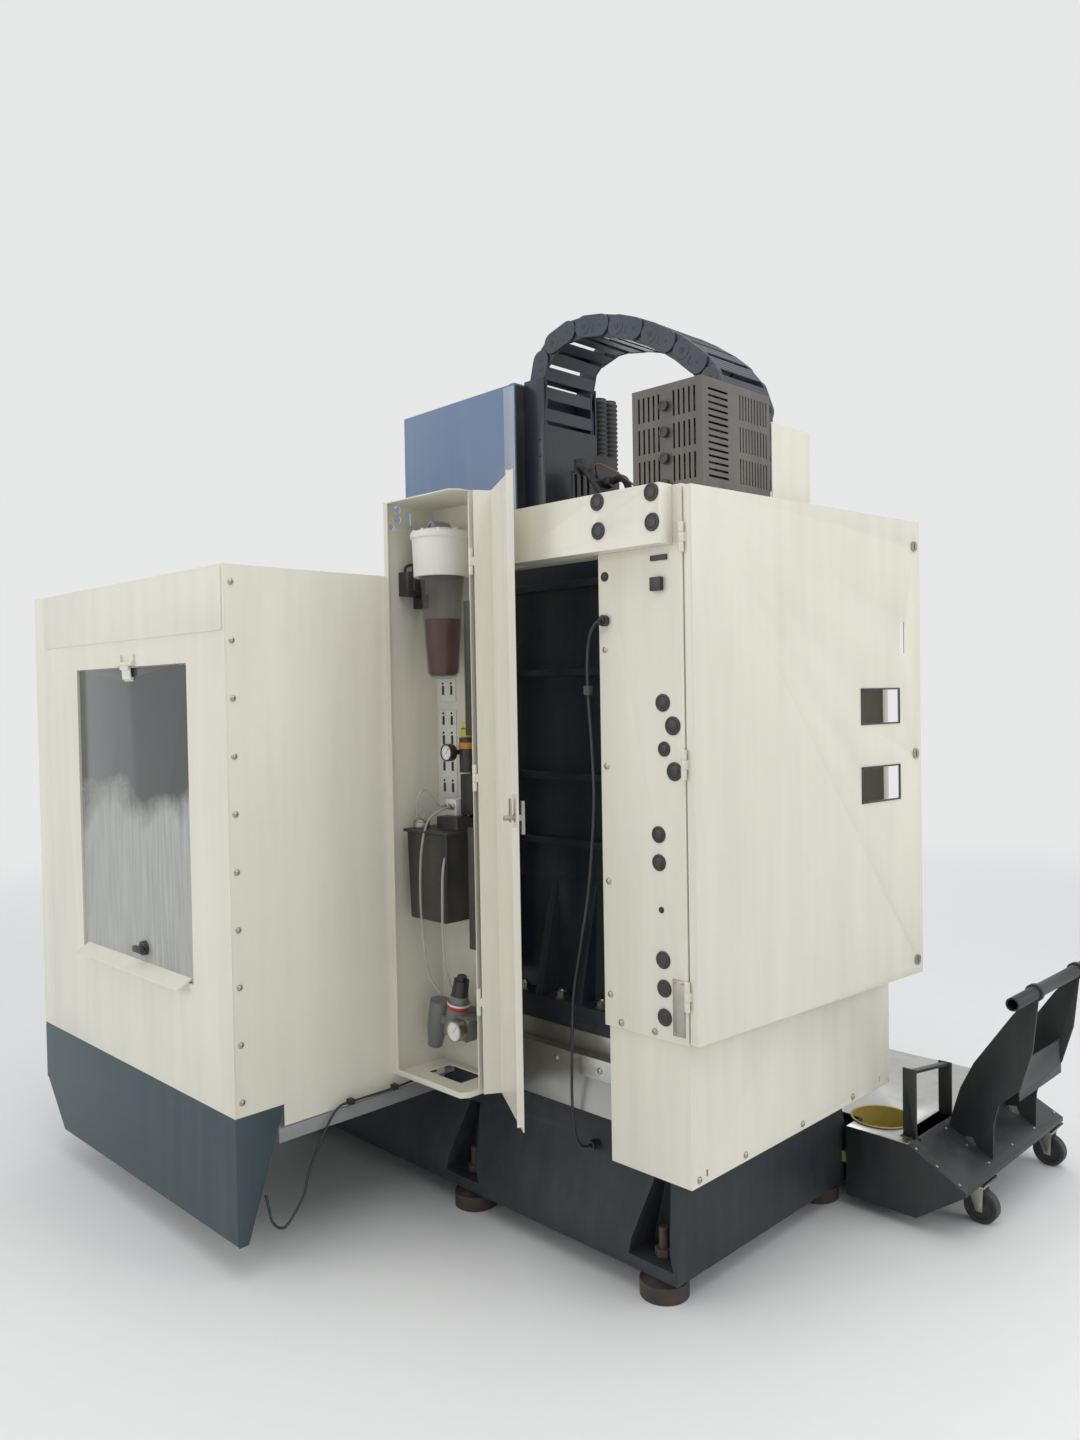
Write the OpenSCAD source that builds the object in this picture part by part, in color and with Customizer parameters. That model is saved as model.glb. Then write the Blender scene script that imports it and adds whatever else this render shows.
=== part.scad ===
// Vertical machining center: cast base and column, sliding table and head, sheet-steel enclosure,
// rear electrical cabinet, lubrication and air cabinet, operator pendant and a coolant tank on casters.
// X runs to the operator's right, Y from the front to the rear, Z up from the floor.

/* [Travel] */
// Travel of the spindle head, up and down
z_travel = 508; // [400:2:520]

/* [Enclosure] */
// Width of the enclosure
enc_w = 2080; // [2040:10:2300]
// Depth of the enclosure from its front skin to its rear skin
enc_d = 1260; // [1240:10:1400]
// Height of the enclosure's top edge
enc_top = 1776; // [1740:2:1860]
// Height at which the painted panels end and the dark skirt begins
skirt_top = 412; // [400:2:430]
// Height of the skirt's lower edge over the floor
skirt_gap = 95; // [60:5:150]
// Thickness of the folded sheet steel
sheet_t = 3; // [2:0.5:4]
// Width of the folded edges of the panels
flange_w = 28; // [20:1:35]
// Depth of the front corner post along the side
corner_d = 130; // [110:5:180]
// Cut of the enclosure's front corners
corner_cut = 50; // [30:5:70]
// Lower edge of the side windows
window_z = 710; // [640:10:800]
// Height of the side windows
window_h = 830; // [700:10:840]
// Width of the side windows
window_w = 691; // [500:1:720]
// Distance of a side window's rear edge from the rear skin
window_back = 198; // [150:2:260]
// Thickness of the window sheets
pane_t = 5; // [4:0.5:8]
// Gap round a window sheet in its opening
pane_gap = 3; // [2:0.5:6]
// Width of the front door opening
door_open_w = 1000; // [900:10:1040]
// Height of the front door opening's lower edge
door_z = 600; // [560:10:660]
// Height of the front door opening's upper edge
door_top = 1700; // [1660:5:1710]
// Thickness of a front door
door_t = 24; // [18:1:30]

/* [Base and column] */
// Width of the base at its feet
foot_w = 800; // [760:10:810]
// Width of the base at its bed
bed_w = 660; // [620:10:690]
// Height of the bed
bed_z = 560; // [540:2:570]
// Clearance under the base
base_gap = 62; // [55:1:80]
// Distance of the base's front end from the rear skin
base_front = 830; // [800:10:900]
// Distance of the base's rear end behind the rear skin
base_rear = 860; // [840:5:870]
// Wall of the castings
cast_t = 34; // [25:1:45]
// Height of the column's foot
column_z = 620; // [600:2:640]
// Height of the column's top
column_top = 1900; // [1890:2:1930]
// Distance of the column's front face behind the rear skin
column_y = 240; // [230:1:250]
// Depth of the column, front to rear
column_d = 460; // [400:5:464]
// Width of the column
column_w = 620; // [600:10:640]
// Width of the column's foot
column_foot_w = 780; // [740:10:790]
// Diameter of a leveling pad
pad_d = 120; // [90:5:130]
// Diameter of a leveling screw
level_d = 24; // [16:1:30]

/* [Slides] */
// Height of the table's top
table_z = 820; // [800:5:840]
// Length of the table
table_w = 914; // [800:2:940]
// Depth of the table
table_d = 356; // [300:2:360]
// Width of a T-slot
slot_w = 16; // [12:1:18]
// Distance between the T-slots
slot_pitch = 112; // [90:1:120]
// Distance of the spindle axis in front of the rear skin
spindle_y = 395; // [390:1:420]
// Height of the spindle nose at the top of its travel
nose_z = 1430; // [1400:5:1450]
// Width of a slide rail
rail_w = 35; // [25:1:45]
// Height of a slide rail
rail_h = 30; // [25:1:32]
// Running gap of the slides
slide_gap = 0.4; // [0.2:0.1:1]
// Half the distance between the column's rails
rail_x = 180; // [160:2:190]
// Diameter of the vertical ball screw
screw_d = 40; // [32:1:50]
// Running gap round a shaft
shaft_gap = 0.08; // [0.03:0.01:0.1]

/* [Head] */
// Width of the head cover
head_w = 300; // [280:2:320]
// Height of the head cover's top
head_top = 2360; // [2330:2:2380]
// Distance of the head cover's rear face behind the rear skin
head_back = 108; // [100:1:108]
// Diameter of the spindle nose
nose_d = 126; // [110:2:140]

/* [Tool changer] */
// Number of tool pockets
pockets = 20; // [12:1:24]
// Radius of the circle of pockets
pocket_r = 260; // [240:2:280]
// Distance of the carousel's axis from the spindle axis at rest
changer_x = 600; // [590:2:620]

/* [Energy chain] */
// Width of the chain
chain_w = 214; // [180:2:214]
// Height of a chain link
link_h = 61; // [50:1:62]
// Distance between the pins of a chain link
link_pitch = 62.7; // [62:0.1:63.3]
// Height of the chain's first pin, over the head
chain_z = 2102; // [2090:2:2120]

/* [Electrical cabinet] */
// Width of the cabinet
cab_w = 928; // [900:2:940]
// Depth of the cabinet body
cab_d = 245; // [220:1:260]
// Height of the cabinet's lower edge
cab_z = 663; // [655:1:700]
// Height of the cabinet's top
cab_top = 1897; // [1880:1:1899]
// Thickness of the cabinet door
cab_door_t = 22; // [18:1:30]
// Angle that the cabinet door stands open
cab_door_open = 4.3; // [2:0.1:8]

/* [Service cabinet] */
// Width of the service cabinet, out from its back wall
svc_w = 180; // [160:2:184]
// Depth of the service cabinet behind the rear skin
svc_d = 293; // [280:1:300]
// Height of the service cabinet's tray
svc_z = 400; // [380:2:405]
// Height of the service cabinet's roof
svc_top = 1975; // [1940:1:2000]
// Angle that the service door stands open
svc_door_open = 148; // [120:1:149]

/* [Pendant] */
// Width of the pendant
pendant_w = 420; // [360:5:440]
// Height of the pendant
pendant_h = 560; // [500:5:620]
// Depth of the pendant
pendant_d = 75; // [60:1:76]

/* [Coolant tank] */
// Width of the tank at its handle end
tank_w = 685; // [660:5:690]
// Height of the tank's rim
tank_top = 224; // [200:2:240]
// Diameter of the strainer hole in the lid
strainer_d = 164; // [120:2:166]
// Diameter of a caster wheel
wheel_d = 90; // [70:2:100]
// Diameter of the handle tube
handle_d = 35; // [25:1:40]

/* [Hidden] */

$fn = 48;
cream = [0.82, 0.82, 0.78];
dark_green = [0.17, 0.22, 0.23];
slate = [0.45, 0.55, 0.70];
navy = [0.09, 0.11, 0.15];
steel = [0.72, 0.73, 0.74];
black = [0.06, 0.06, 0.07];
gray = [0.55, 0.56, 0.57];
seat = 0.3;
cut = 1;

hx = enc_w / 2;
door_half = door_open_w / 2;
pendant_y0 = -enc_d - 60;
pendant_y1 = pendant_y0 - pendant_d;
front_most = pendant_y1 - 25;
handle_y = 1306.5;
rear_most = handle_y + handle_d / 2 + 6;
mid_y = (front_most + rear_most) / 2;

// Everything is drawn from the rear skin and then set over the middle of its own footprint.
module place() translate([0, -mid_y, 0]) children();

// A block from one corner to the other, each axis given as [low, high]
module slab(x, y, z) translate([x[0], y[0], z[0]]) cube([x[1] - x[0], y[1] - y[0], z[1] - z[0]]);

// A profile drawn in Y and Z, drawn out along X
module along_x(x) translate([x[0], 0, 0]) rotate([90, 0, 90]) linear_extrude(x[1] - x[0]) children();

// A profile drawn in X and Z, drawn out along Y
module along_y(y) translate([0, y[1], 0]) rotate([90, 0, 0]) linear_extrude(y[1] - y[0]) children();

// Round bars along each axis, from one end to the other
module bar_x(d, x, y, z) translate([x[0], y, z]) rotate([0, 90, 0]) cylinder(d = d, h = x[1] - x[0]);
module bar_y(d, x, y, z) translate([x, y[0], z]) rotate([-90, 0, 0]) cylinder(d = d, h = y[1] - y[0]);
module bar_z(d, x, y, z) translate([x, y, z[0]]) cylinder(d = d, h = z[1] - z[0]);

module both_sides() {
    children();
    mirror([1, 0, 0]) children();
}

// Base casting: an open-bottomed trough with flared feet, a level bed and a seat for the column
foot_x = foot_w / 2 - 52;
foot_ys = [-base_front + 92, 100, base_rear - 80];
bed_back = column_y + column_d + 5;
tail_z = 318;

function base_profile(d) = [
    [-foot_w / 2 + d, base_gap - (d > 0 ? cut : 0)], [foot_w / 2 - d, base_gap - (d > 0 ? cut : 0)],
    [foot_w / 2 - d, base_gap + 70], [bed_w / 2 - d, 330], [bed_w / 2 - d, bed_z - d],
    [-bed_w / 2 + d, bed_z - d], [-bed_w / 2 + d, 330], [-foot_w / 2 + d, base_gap + 70]];

module foot_pocket(y) {
    along_x([foot_x - 46, foot_w / 2 + cut])
        polygon([[y - 68, base_gap + 30], [y + 68, base_gap + 30], [y + 20, 290], [y - 20, 290]]);
    bar_z(level_d + 2, foot_x, y, [base_gap - cut, base_gap + 40]);
}

module base_casting() place() color(navy) {
    difference() {
        union() {
            along_y([-base_front, bed_back]) polygon(base_profile(0));
            along_y([bed_back - cut, base_rear]) intersection() {
                polygon(base_profile(0));
                translate([-foot_w, 0]) square([foot_w * 2, tail_z]);
            }
            along_y([column_y, bed_back]) polygon([[-bed_w / 2, 380], [bed_w / 2, 380],
                [column_foot_w / 2, bed_z - 20], [column_foot_w / 2, column_z],
                [-column_foot_w / 2, column_z], [-column_foot_w / 2, bed_z - 20]]);
        }
        for (bay = [[-base_front + 190, -300], [-264, -10], [200, 420], [456, bed_back - 40]])
            along_y(bay) polygon(base_profile(cast_t));
        both_sides() for (y = foot_ys) foot_pocket(y);
    }
    both_sides() slab([250 - rail_w / 2, 250 + rail_w / 2], [-base_front + 30, -16],
        [bed_z, bed_z + rail_h]);
}

module leveling_feet() place() color(navy) {
    both_sides() for (y = foot_ys) {
        bar_z(pad_d, foot_x, y, [0, 40]);
        translate([foot_x, y, 40]) cylinder(d1 = pad_d - 14, d2 = level_d + 22, h = base_gap - 40 - seat);
        bar_z(level_d, foot_x, y, [40, base_gap + 100]);
        translate([foot_x, y, base_gap + 30 + seat]) cylinder(d = level_d * 1.9, h = 20, $fn = 6);
    }
}

// Column: a hollow casting with outer shelves, a gusseted foot and a channel for the screw
column_ribs = [1060, 1230, 1500, 1724];
screw_y = column_y + 36;
head_z = [1330, 1870];
rail_z0 = head_z[0] - z_travel - 32;
bearing_z = 716;

module column_casting() place() color(navy) {
    difference() {
        union() {
            along_y([column_y, column_y + column_d]) polygon([
                [-column_foot_w / 2 + 60, column_z], [column_foot_w / 2 - 60, column_z],
                [column_w / 2, 1020], [column_w / 2, column_top],
                [-column_w / 2, column_top], [-column_w / 2, 1020]]);
            slab([-column_foot_w / 2, column_foot_w / 2], [column_y, column_y + column_d],
                [column_z, column_z + 40]);
            both_sides() for (i = [0:3]) along_y([column_y + 8 + i * (column_d - 40) / 3,
                column_y + 32 + i * (column_d - 40) / 3])
                polygon([[column_w / 2 - 10, column_z + 40], [column_foot_w / 2 - 8, column_z + 40],
                    [column_w / 2 + 6, column_z + 330], [column_w / 2 - 10, column_z + 330]]);
            for (z = column_ribs) slab([-column_w / 2 - 34, column_w / 2 + 34],
                [column_y + 20, column_y + column_d - 20], [z - 9, z + 9]);
        }
        slab([-90, 90], [column_y - cut, column_y + 90], [column_z + 60, column_top + cut]);
        for (z = [[column_z + 70, 1042], [1078, 1212], [1248, 1482], [1518, 1706], [1742, column_top - 40]])
            along_y([column_y + 90 + cast_t, column_y + column_d + cut]) intersection() {
                polygon([[-column_foot_w / 2 + 60 + cast_t, column_z],
                    [column_foot_w / 2 - 60 - cast_t, column_z], [column_w / 2 - cast_t, 1020],
                    [column_w / 2 - cast_t, column_top], [-column_w / 2 + cast_t, column_top],
                    [-column_w / 2 + cast_t, 1020]]);
                translate([-column_w, z[0]]) square([column_w * 2, z[1] - z[0]]);
            }
    }
    both_sides() slab([rail_x - rail_w / 2, rail_x + rail_w / 2], [column_y - rail_h, column_y],
        [rail_z0, column_top - 10]);
    difference() {
        slab([-60, 60], [column_y + 4, column_y + 90], [bearing_z, bearing_z + 40]);
        bar_z(24 + 2 * shaft_gap, 0, screw_y, [bearing_z - cut, bearing_z + 40 + cut]);
    }
}

module z_screw() place() color(steel) {
    bar_z(24, 0, screw_y, [bearing_z + 2, bearing_z + 40 + seat]);
    bar_z(screw_d, 0, screw_y, [bearing_z + 40 + seat, column_top - seat]);
    bar_z(24, 0, screw_y, [column_top - seat, column_top + 24]);
}

module z_motor() place() color(black) {
    difference() {
        union() {
            slab([-115, 115], [column_y + 2, column_y + 110], [column_top, column_top + 30]);
            slab([-55, 55], [screw_y - 35, screw_y + 55], [column_top + 30, column_top + 190]);
            slab([-48, 48], [screw_y - 30, screw_y + 50], [column_top + 190, column_top + 225]);
        }
        bar_z(24 + 2 * shaft_gap, 0, screw_y, [column_top - cut, column_top + 26]);
        for (s = [-1, 1]) for (i = [0:2])
            slab([s * (49 + cut) - cut - 5, s * (49 + cut) - cut + 7],
                [screw_y - 22 + i * 24, screw_y - 12 + i * 24], [column_top + 50, column_top + 180]);
    }
    bar_y(34, 0, [screw_y + 55, screw_y + 78], column_top + 150);
}

// Enclosure panels
post_y = -enc_d + corner_d;
win_y = [-window_back - window_w, -window_back];
win_z = [window_z, window_z + window_h];
win_mid = (win_y[0] + win_y[1]) / 2;
hinge_out = 4;
win_axis = [hx + hinge_out + 3, win_z[1] + 8];

module side_panel() {
    t = sheet_t;
    difference() {
        union() {
            slab([hx - t, hx], [post_y, 0], [skirt_top, enc_top]);
            slab([hx - t, hx + hinge_out], [post_y + 2, -8], [enc_top - 162, enc_top - 6]);
            slab([hx - 15, hx - t], [win_y[0] - t, win_y[1] + t], [win_z[0] - t, win_z[1] + t]);
        }
        slab([hx - 16, hx + 8], win_y, win_z);
    }
    slab([hx - flange_w, hx - t], [post_y, -2 * t], [enc_top - t, enc_top]);
    slab([hx - flange_w, hx - t], [post_y, -2 * t], [skirt_top, skirt_top + t]);
    slab([hx - flange_w, hx - t], [-2 * t, -t], [skirt_top, enc_top]);
    for (s = [-1, 1]) slab([hx, win_axis[0]], [win_mid + s * 40 - 12, win_mid + s * 40 + 12],
        [win_z[1] + 3, win_z[1] + 34]);
    for (s = [-1, 1]) difference() {
        bar_y(12, win_axis[0], [win_mid + s * 40 - 12, win_mid + s * 40 + 12], win_axis[1]);
        slab([hx - 20, hx], [win_mid - 60, win_mid + 60], [win_z[1] - 20, win_z[1] + 30]);
    }
    bar_y(5, win_axis[0], [win_mid - 45, win_mid + 45], win_axis[1]);
}

module side_panel_right() place() color(cream) side_panel();
module side_panel_left() place() color(cream) mirror([1, 0, 0]) side_panel();

module side_window() {
    x = [hx - 12, hx - 12 + pane_t];
    y = [win_y[0] + pane_gap, win_y[1] - pane_gap];
    slab(x, y, [win_z[0] + pane_gap, win_z[1] - pane_gap]);
    along_y([y[0] + 20, y[1] - 20]) polygon([[x[1], win_z[0] + 6], [hx + 34, win_z[0] - 14],
        [hx + 34, win_z[0] - 10], [x[1], win_z[0] + 12]]);
    along_y([win_mid - 26, win_mid + 26]) polygon([[x[1], win_z[1] - 40], [hx + 2, win_z[1] - 34],
        [hx + 4, win_z[1] - 4], [hx + 1, win_z[1] - 4], [hx - 1, win_z[1] - 28], [x[1], win_z[1] - 28]]);
    difference() {
        union() {
            bar_y(12, win_axis[0], [win_mid - 26, win_mid + 26], win_axis[1]);
            slab([hx + 2, win_axis[0] + 2], [win_mid - 26, win_mid + 26], [win_z[1] - 8, win_axis[1]]);
        }
        bar_y(5 + 2 * shaft_gap, win_axis[0], [win_mid - 30, win_mid + 30], win_axis[1]);
    }
    bar_x(40, [x[1], x[1] + 12], win_mid + 60, win_z[0] + 52);
    bar_x(16, [x[1] + 12, x[1] + 26], win_mid + 60, win_z[0] + 52);
    slab([x[1] + 20, x[1] + 30], [win_mid + 40, win_mid + 90], [win_z[0] + 44, win_z[0] + 60]);
}

module side_window_right() place() color([0.45, 0.45, 0.43, 0.6]) side_window();
module side_window_left() place() color([0.45, 0.45, 0.43, 0.6]) mirror([1, 0, 0]) side_window();

// Rear skins, with the splash return that meets the column
gap_x = 373;
flange_drop = 56;

module rear_panel() {
    t = sheet_t;
    slab([gap_x, hx - t], [-t, 0], [skirt_top, enc_top]);
    slab([gap_x, hx - 138], [-t, 0], [skirt_top - flange_drop, skirt_top]);
    slab([gap_x, hx - flange_w - 2], [-flange_w, -t], [enc_top - t, enc_top]);
    slab([gap_x - t, gap_x], [-t, column_y - 3], [skirt_top + 3, enc_top]);
    slab([column_w / 2 + 8, gap_x - t], [column_y - 3 - t, column_y - 3], [column_z + 60, enc_top]);
}

module rear_panel_right() place() color(cream) rear_panel();
module rear_panel_left() place() color(cream) mirror([1, 0, 0]) rear_panel();

// Front: corner posts, apron, top beam and the door tracks
track_y = [-enc_d + 12, -enc_d + 50];
door_y = [-enc_d + 18, -enc_d + 18 + door_t];

function corner_path(d) = [[hx - d, post_y], [hx - d, -enc_d + corner_cut + d / 2],
    [hx - corner_cut - d / 2, -enc_d + d], [door_half, -enc_d + d]];

module front_fascia() place() color(cream) {
    t = sheet_t;
    both_sides() {
        translate([0, 0, skirt_top]) linear_extrude(enc_top - skirt_top)
            polygon(concat(corner_path(0), [for (i = [3:-1:0]) corner_path(t)[i]]));
        slab([door_half, door_half + t], [-enc_d + t, -enc_d + 10], [door_z, door_top]);
    }
    slab([-door_half, door_half], [-enc_d, -enc_d + t], [skirt_top, door_z]);
    slab([-door_half, door_half], [-enc_d, -enc_d + t], [door_top, enc_top]);
    slab([-hx + corner_cut + 4, hx - corner_cut - 4], [-enc_d + t, -enc_d + 30],
        [skirt_top, skirt_top + t]);
    slab([-hx + corner_cut + 4, hx - corner_cut - 4], [-enc_d + t, track_y[1]], [enc_top - t, enc_top]);
    slab([-hx + corner_cut + 4, hx - corner_cut - 4], [-enc_d + t, track_y[1]], [door_z - 6, door_z]);
    slab([-hx + corner_cut + 4, hx - corner_cut - 4], [-enc_d + t, track_y[1]],
        [door_top, door_top + 6]);
    for (z = [[door_z, door_z + 18], [door_top - 18, door_top]])
        slab([-hx + corner_cut + 4, hx - corner_cut - 4], [track_y[1] - t, track_y[1]], z);
    for (z = [arm_z - 35, arm_z + 25]) slab([arm_x - 26, arm_x + 26], [arm_y - 20, -enc_d], [z, z + 10]);
    bar_z(16, arm_x, arm_y, [arm_z - 30, arm_z + 30]);
}

module front_door(s) {
    x = [seat, door_half + 40];
    z = [door_z + seat, door_top - seat];
    glass_x = [110, door_half - 60];
    mirror([s < 0 ? 1 : 0, 0, 0]) {
        difference() {
            slab(x, door_y, z);
            slab([x[0] + sheet_t, x[1] - sheet_t], [door_y[0] + sheet_t, door_y[1] + cut],
                [z[0] + sheet_t, z[1] - sheet_t]);
            slab(glass_x, [door_y[0] - cut, door_y[1]], [z[0] + 300, z[1] - 180]);
        }
        slab([glass_x[0] - 12, glass_x[1] + 12], [door_y[0] + sheet_t, door_y[0] + sheet_t + pane_t],
            [z[0] + 288, z[1] - 168]);
        for (h = [1040, 1280]) bar_y(14, 52, [door_y[0] - 34, door_y[0]], h);
        bar_z(22, 52, door_y[0] - 40, [1000, 1320]);
    }
}

module front_door_right() place() color(cream) front_door(1);
module front_door_left() place() color(cream) front_door(-1);

// Skirt: one folded wall round the sides and front, and the tapered rear returns
function skirt_path(d) = [[hx - d, 0], [hx - d, post_y - 80 + d / 2], [hx - 55 - d / 2, -enc_d + 16 + d],
    [-hx + 55 + d / 2, -enc_d + 16 + d], [-hx + d, post_y - 80 + d / 2], [-hx + d, 0]];

module lower_skirt() place() color(dark_green) {
    t = sheet_t;
    difference() {
        translate([0, 0, skirt_gap]) linear_extrude(skirt_top - skirt_gap)
            polygon(concat(skirt_path(0), [for (i = [5:-1:0]) skirt_path(t)[i]]));
        along_x([-hx - cut, hx + cut]) polygon([[-enc_d - 10, skirt_gap - cut],
            [-enc_d + 185, skirt_gap - cut], [-enc_d + 60, 232], [-enc_d - 10, 232]]);
    }
    both_sides() {
        along_y([-t, 0]) polygon([[hx - t, skirt_top], [hx - 138, skirt_top], [hx - 30, skirt_gap - 5],
            [hx - t, skirt_gap - 5]]);
        slab([hx - flange_w, hx - t], [post_y, -t], [skirt_top - t, skirt_top]);
    }
}

// Chip pan: a tray round the base with a rear gutter edge and a drain spout over the coolant tank
pan_z = 350;
pan_edge = 316;
spout_x = -foot_w / 2 - 300;

module chip_pan() place() color(gray) {
    t = sheet_t;
    bx = bed_w / 2 + 3;
    difference() {
        union() {
            translate([0, 0, pan_z]) linear_extrude(t)
                polygon([for (p = skirt_path(t + 1)) [p[0], min(p[1], -t - 1)]]);
            slab([-bx - t, bx + t], [-base_front - 3 - t, -t - 1], [pan_z, pan_z + 80]);
            slab([spout_x - 48, spout_x + 48], [-168, -72], [pan_z - 62, pan_z + 1]);
            slab([spout_x - 48, spout_x + 48], [-168, 90], [pan_z - 66, pan_z - 60]);
        }
        slab([-bx, bx], [-base_front - 3, 10], [pan_z - cut, pan_z + 81]);
        slab([spout_x - 45, spout_x + 45], [-165, -75], [pan_z - 60, pan_z + 13]);
        slab([spout_x - 30, spout_x + 30], [20, 78], [pan_z - 70, pan_z - 50]);
    }
    both_sides() slab([gap_x, hx - 122], [-t - 1.5, -1], [pan_edge, pan_z + t - 1]);
    both_sides() slab([bed_w / 2 + seat, bx + 1], [-500, -420], [pan_z - 1, pan_z + 60]);
    both_sides() slab([hx - t - 2 - flange_w, hx - t - 2], [-enc_d + 70, -t - 2], [pan_z + 1, skirt_top - t]);
}

// Dome-head screws of the rear skin, the cabinet side, the chain bracket and the transformer box
module dome(r) cylinder(r1 = r, r2 = r * 0.55, h = r * 0.55);
module dome_x(x, y, z, r) translate([x, y, z]) rotate([0, 90, 0]) dome(r);
module dome_y(x, y, z, r) translate([x, y, z]) rotate([-90, 0, 0]) dome(r);

module fasteners() place() color(steel) {
    both_sides() for (i = [0:9]) dome_y(hx - 20, 0, skirt_top + 37 + i * (enc_top - skirt_top - 81) / 9, 7);
    for (z = [1545, 1273, 1004, 738]) dome_x(cab_x1, cab_y0 + 18, z, 6);
    for (y = [cab_y0 + 50, cab_y0 + 150]) dome_x(cab_x1, y, cab_z + 14, 6);
    for (x = [-250, 0, 250, 430]) dome_y(x, box_y1, box_z0 + 16, 7);
    for (y = [520, 665]) dome_x(gutter_x, y, 534, 7);
    both_sides() for (i = [0:2]) translate([column_foot_w / 2 - 26,
        column_y + 90 + i * (column_d - 40) / 3, column_z + 40]) cylinder(d = 30, h = 19, $fn = 6);
}

// Service cabinet on the rear skin: lubrication and air supply
svc_x0 = gap_x;
svc_x1 = gap_x + svc_w;
svc_jamb = svc_x1 - 53;
svc_hinge = [svc_jamb + 2, svc_d + 7];
svc_hinges = [svc_z + 245, svc_z + 830, svc_z + 1390];
tray_path = [[svc_x0, 0], [svc_x1, 0], [svc_x1, svc_d - 15], [svc_x1 - 20, svc_d], [svc_x0, svc_d]];

module lube_cabinet() place() color(cream) {
    t = sheet_t;
    difference() {
        union() {
            slab([svc_x0, svc_x1], [0, t], [svc_z + t, svc_top - t]);
            slab([svc_x0, svc_x0 + t], [t, svc_d], [svc_z + t, svc_top - t]);
            slab([svc_x0 + t, svc_jamb], [svc_d - t, svc_d], [svc_z + t, svc_top - t]);
            slab([svc_x1 - t, svc_x1], [t, 17], [svc_z + t, svc_top - t]);
            translate([0, 0, svc_top - t]) linear_extrude(t) polygon(tray_path);
            translate([0, 0, svc_z]) linear_extrude(t) polygon(tray_path);
            translate([0, 0, svc_z + t]) linear_extrude(12) difference() {
                polygon(tray_path);
                offset(delta = -t) polygon(tray_path);
            }
        }
        for (p = [[133, 13, 10], [133, 40, 11], [155, 63, 8], [52, 70, 8]])
            bar_y(p[2] * 2, svc_x0 + p[0], [-cut, t + cut], svc_top - p[1]);
        slab([svc_x0 + 88, svc_x0 + 106], [-cut, t + cut], [svc_top - 52, svc_top - 18]);
        slab([svc_x0 + 30, svc_x0 + 110], [60, 200], [svc_z - cut, svc_z + t + cut]);
        slab([svc_x0 - cut, column_foot_w / 2 + 3], [column_y - 3, svc_d + cut], [bed_z - 75, column_z + 90]);
    }
    for (z = svc_hinges) {
        slab([svc_jamb - 22, svc_hinge[0] - 6.5], [svc_d, svc_hinge[1]], [z - 34, z + 34]);
        for (k = [[z - 34, z - 11.5], [z + 11.5, z + 34]]) {
            slab([svc_hinge[0] - 7, svc_hinge[0] - 2], [svc_d, svc_hinge[1]], k);
            bar_z(12, svc_hinge[0], svc_hinge[1], k);
        }
        bar_z(6, svc_hinge[0], svc_hinge[1], [z - 30, z + 30]);
    }
}

// The service door wraps the corner: a short leg from the hinge, a long leg and a folded edge
leg_a = svc_x1 + 7 - svc_hinge[0];
leg_b = 272;
latch_z = 1150;

module service_turn() translate([svc_hinge[0], svc_hinge[1], 0]) rotate([0, 0, svc_door_open])
    translate([-svc_hinge[0], -svc_hinge[1], 0]) children();

module lube_door() place() color(cream) service_turn() {
    t = sheet_t;
    x1 = svc_hinge[0] + leg_a;
    y1 = svc_hinge[1] - 3;
    z = [svc_z + 4, svc_top - 2];
    difference() {
        union() {
            slab([svc_hinge[0] + 8, x1], [y1 - t, y1], z);
            slab([x1 - t, x1], [y1 - leg_b, y1 - t], z);
            slab([x1 - 17, x1 - t], [y1 - leg_b, y1 - leg_b + t], [svc_z + t + 14, svc_top - t - 2]);
        }
        bar_x(20.2, [x1 - 5, x1 + 1], y1 - leg_b + 34, latch_z);
        slab([x1 - 20, x1 - t], [y1 - leg_b - cut, y1 - leg_b + t + cut], [latch_z - 20, latch_z + 60]);
    }
    for (h = svc_hinges) {
        slab([svc_hinge[0] + 3, svc_hinge[0] + 9], [y1 - t, svc_hinge[1]], [h - 11, h + 11]);
        difference() {
            bar_z(12, svc_hinge[0], svc_hinge[1], [h - 11, h + 11]);
            bar_z(6 + 2 * shaft_gap, svc_hinge[0], svc_hinge[1], [h - 12, h + 12]);
        }
    }
}

module lube_door_latch() place() color(steel) service_turn() {
    x1 = svc_hinge[0] + leg_a;
    y = svc_hinge[1] - 3 - leg_b + 34;
    bar_x(20, [x1 - sheet_t - 2, x1 + 2], y, latch_z);
    bar_x(28, [x1 + seat, x1 + 5], y, latch_z);
    slab([x1 + 2, x1 + 20], [y - 7, y + 7], [latch_z - 7, latch_z + 7]);
    slab([x1 + 12, x1 + 20], [y - 8, y + 8], [latch_z - 40, latch_z + 40]);
    bar_x(12, [x1 - 30, x1 - sheet_t - 1], y, latch_z);
    slab([x1 - 16, x1 - 12], [y - 8, y + 8], [latch_z - 10, latch_z + 46]);
}

// Oil bowl and its screwed cap
cap_r = (svc_w - sheet_t) / 2 - 4.5;
bowl = [svc_x0 + sheet_t + cap_r + 1, 134];

module oil_bowl() place() color([0.45, 0.16, 0.13, 0.7]) translate([bowl[0], bowl[1], 0])
    rotate_extrude() polygon([[0, 1491], [30, 1491], [44, 1506], [58, 1742], [cap_r - 20, 1790], [0, 1790]]);

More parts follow.
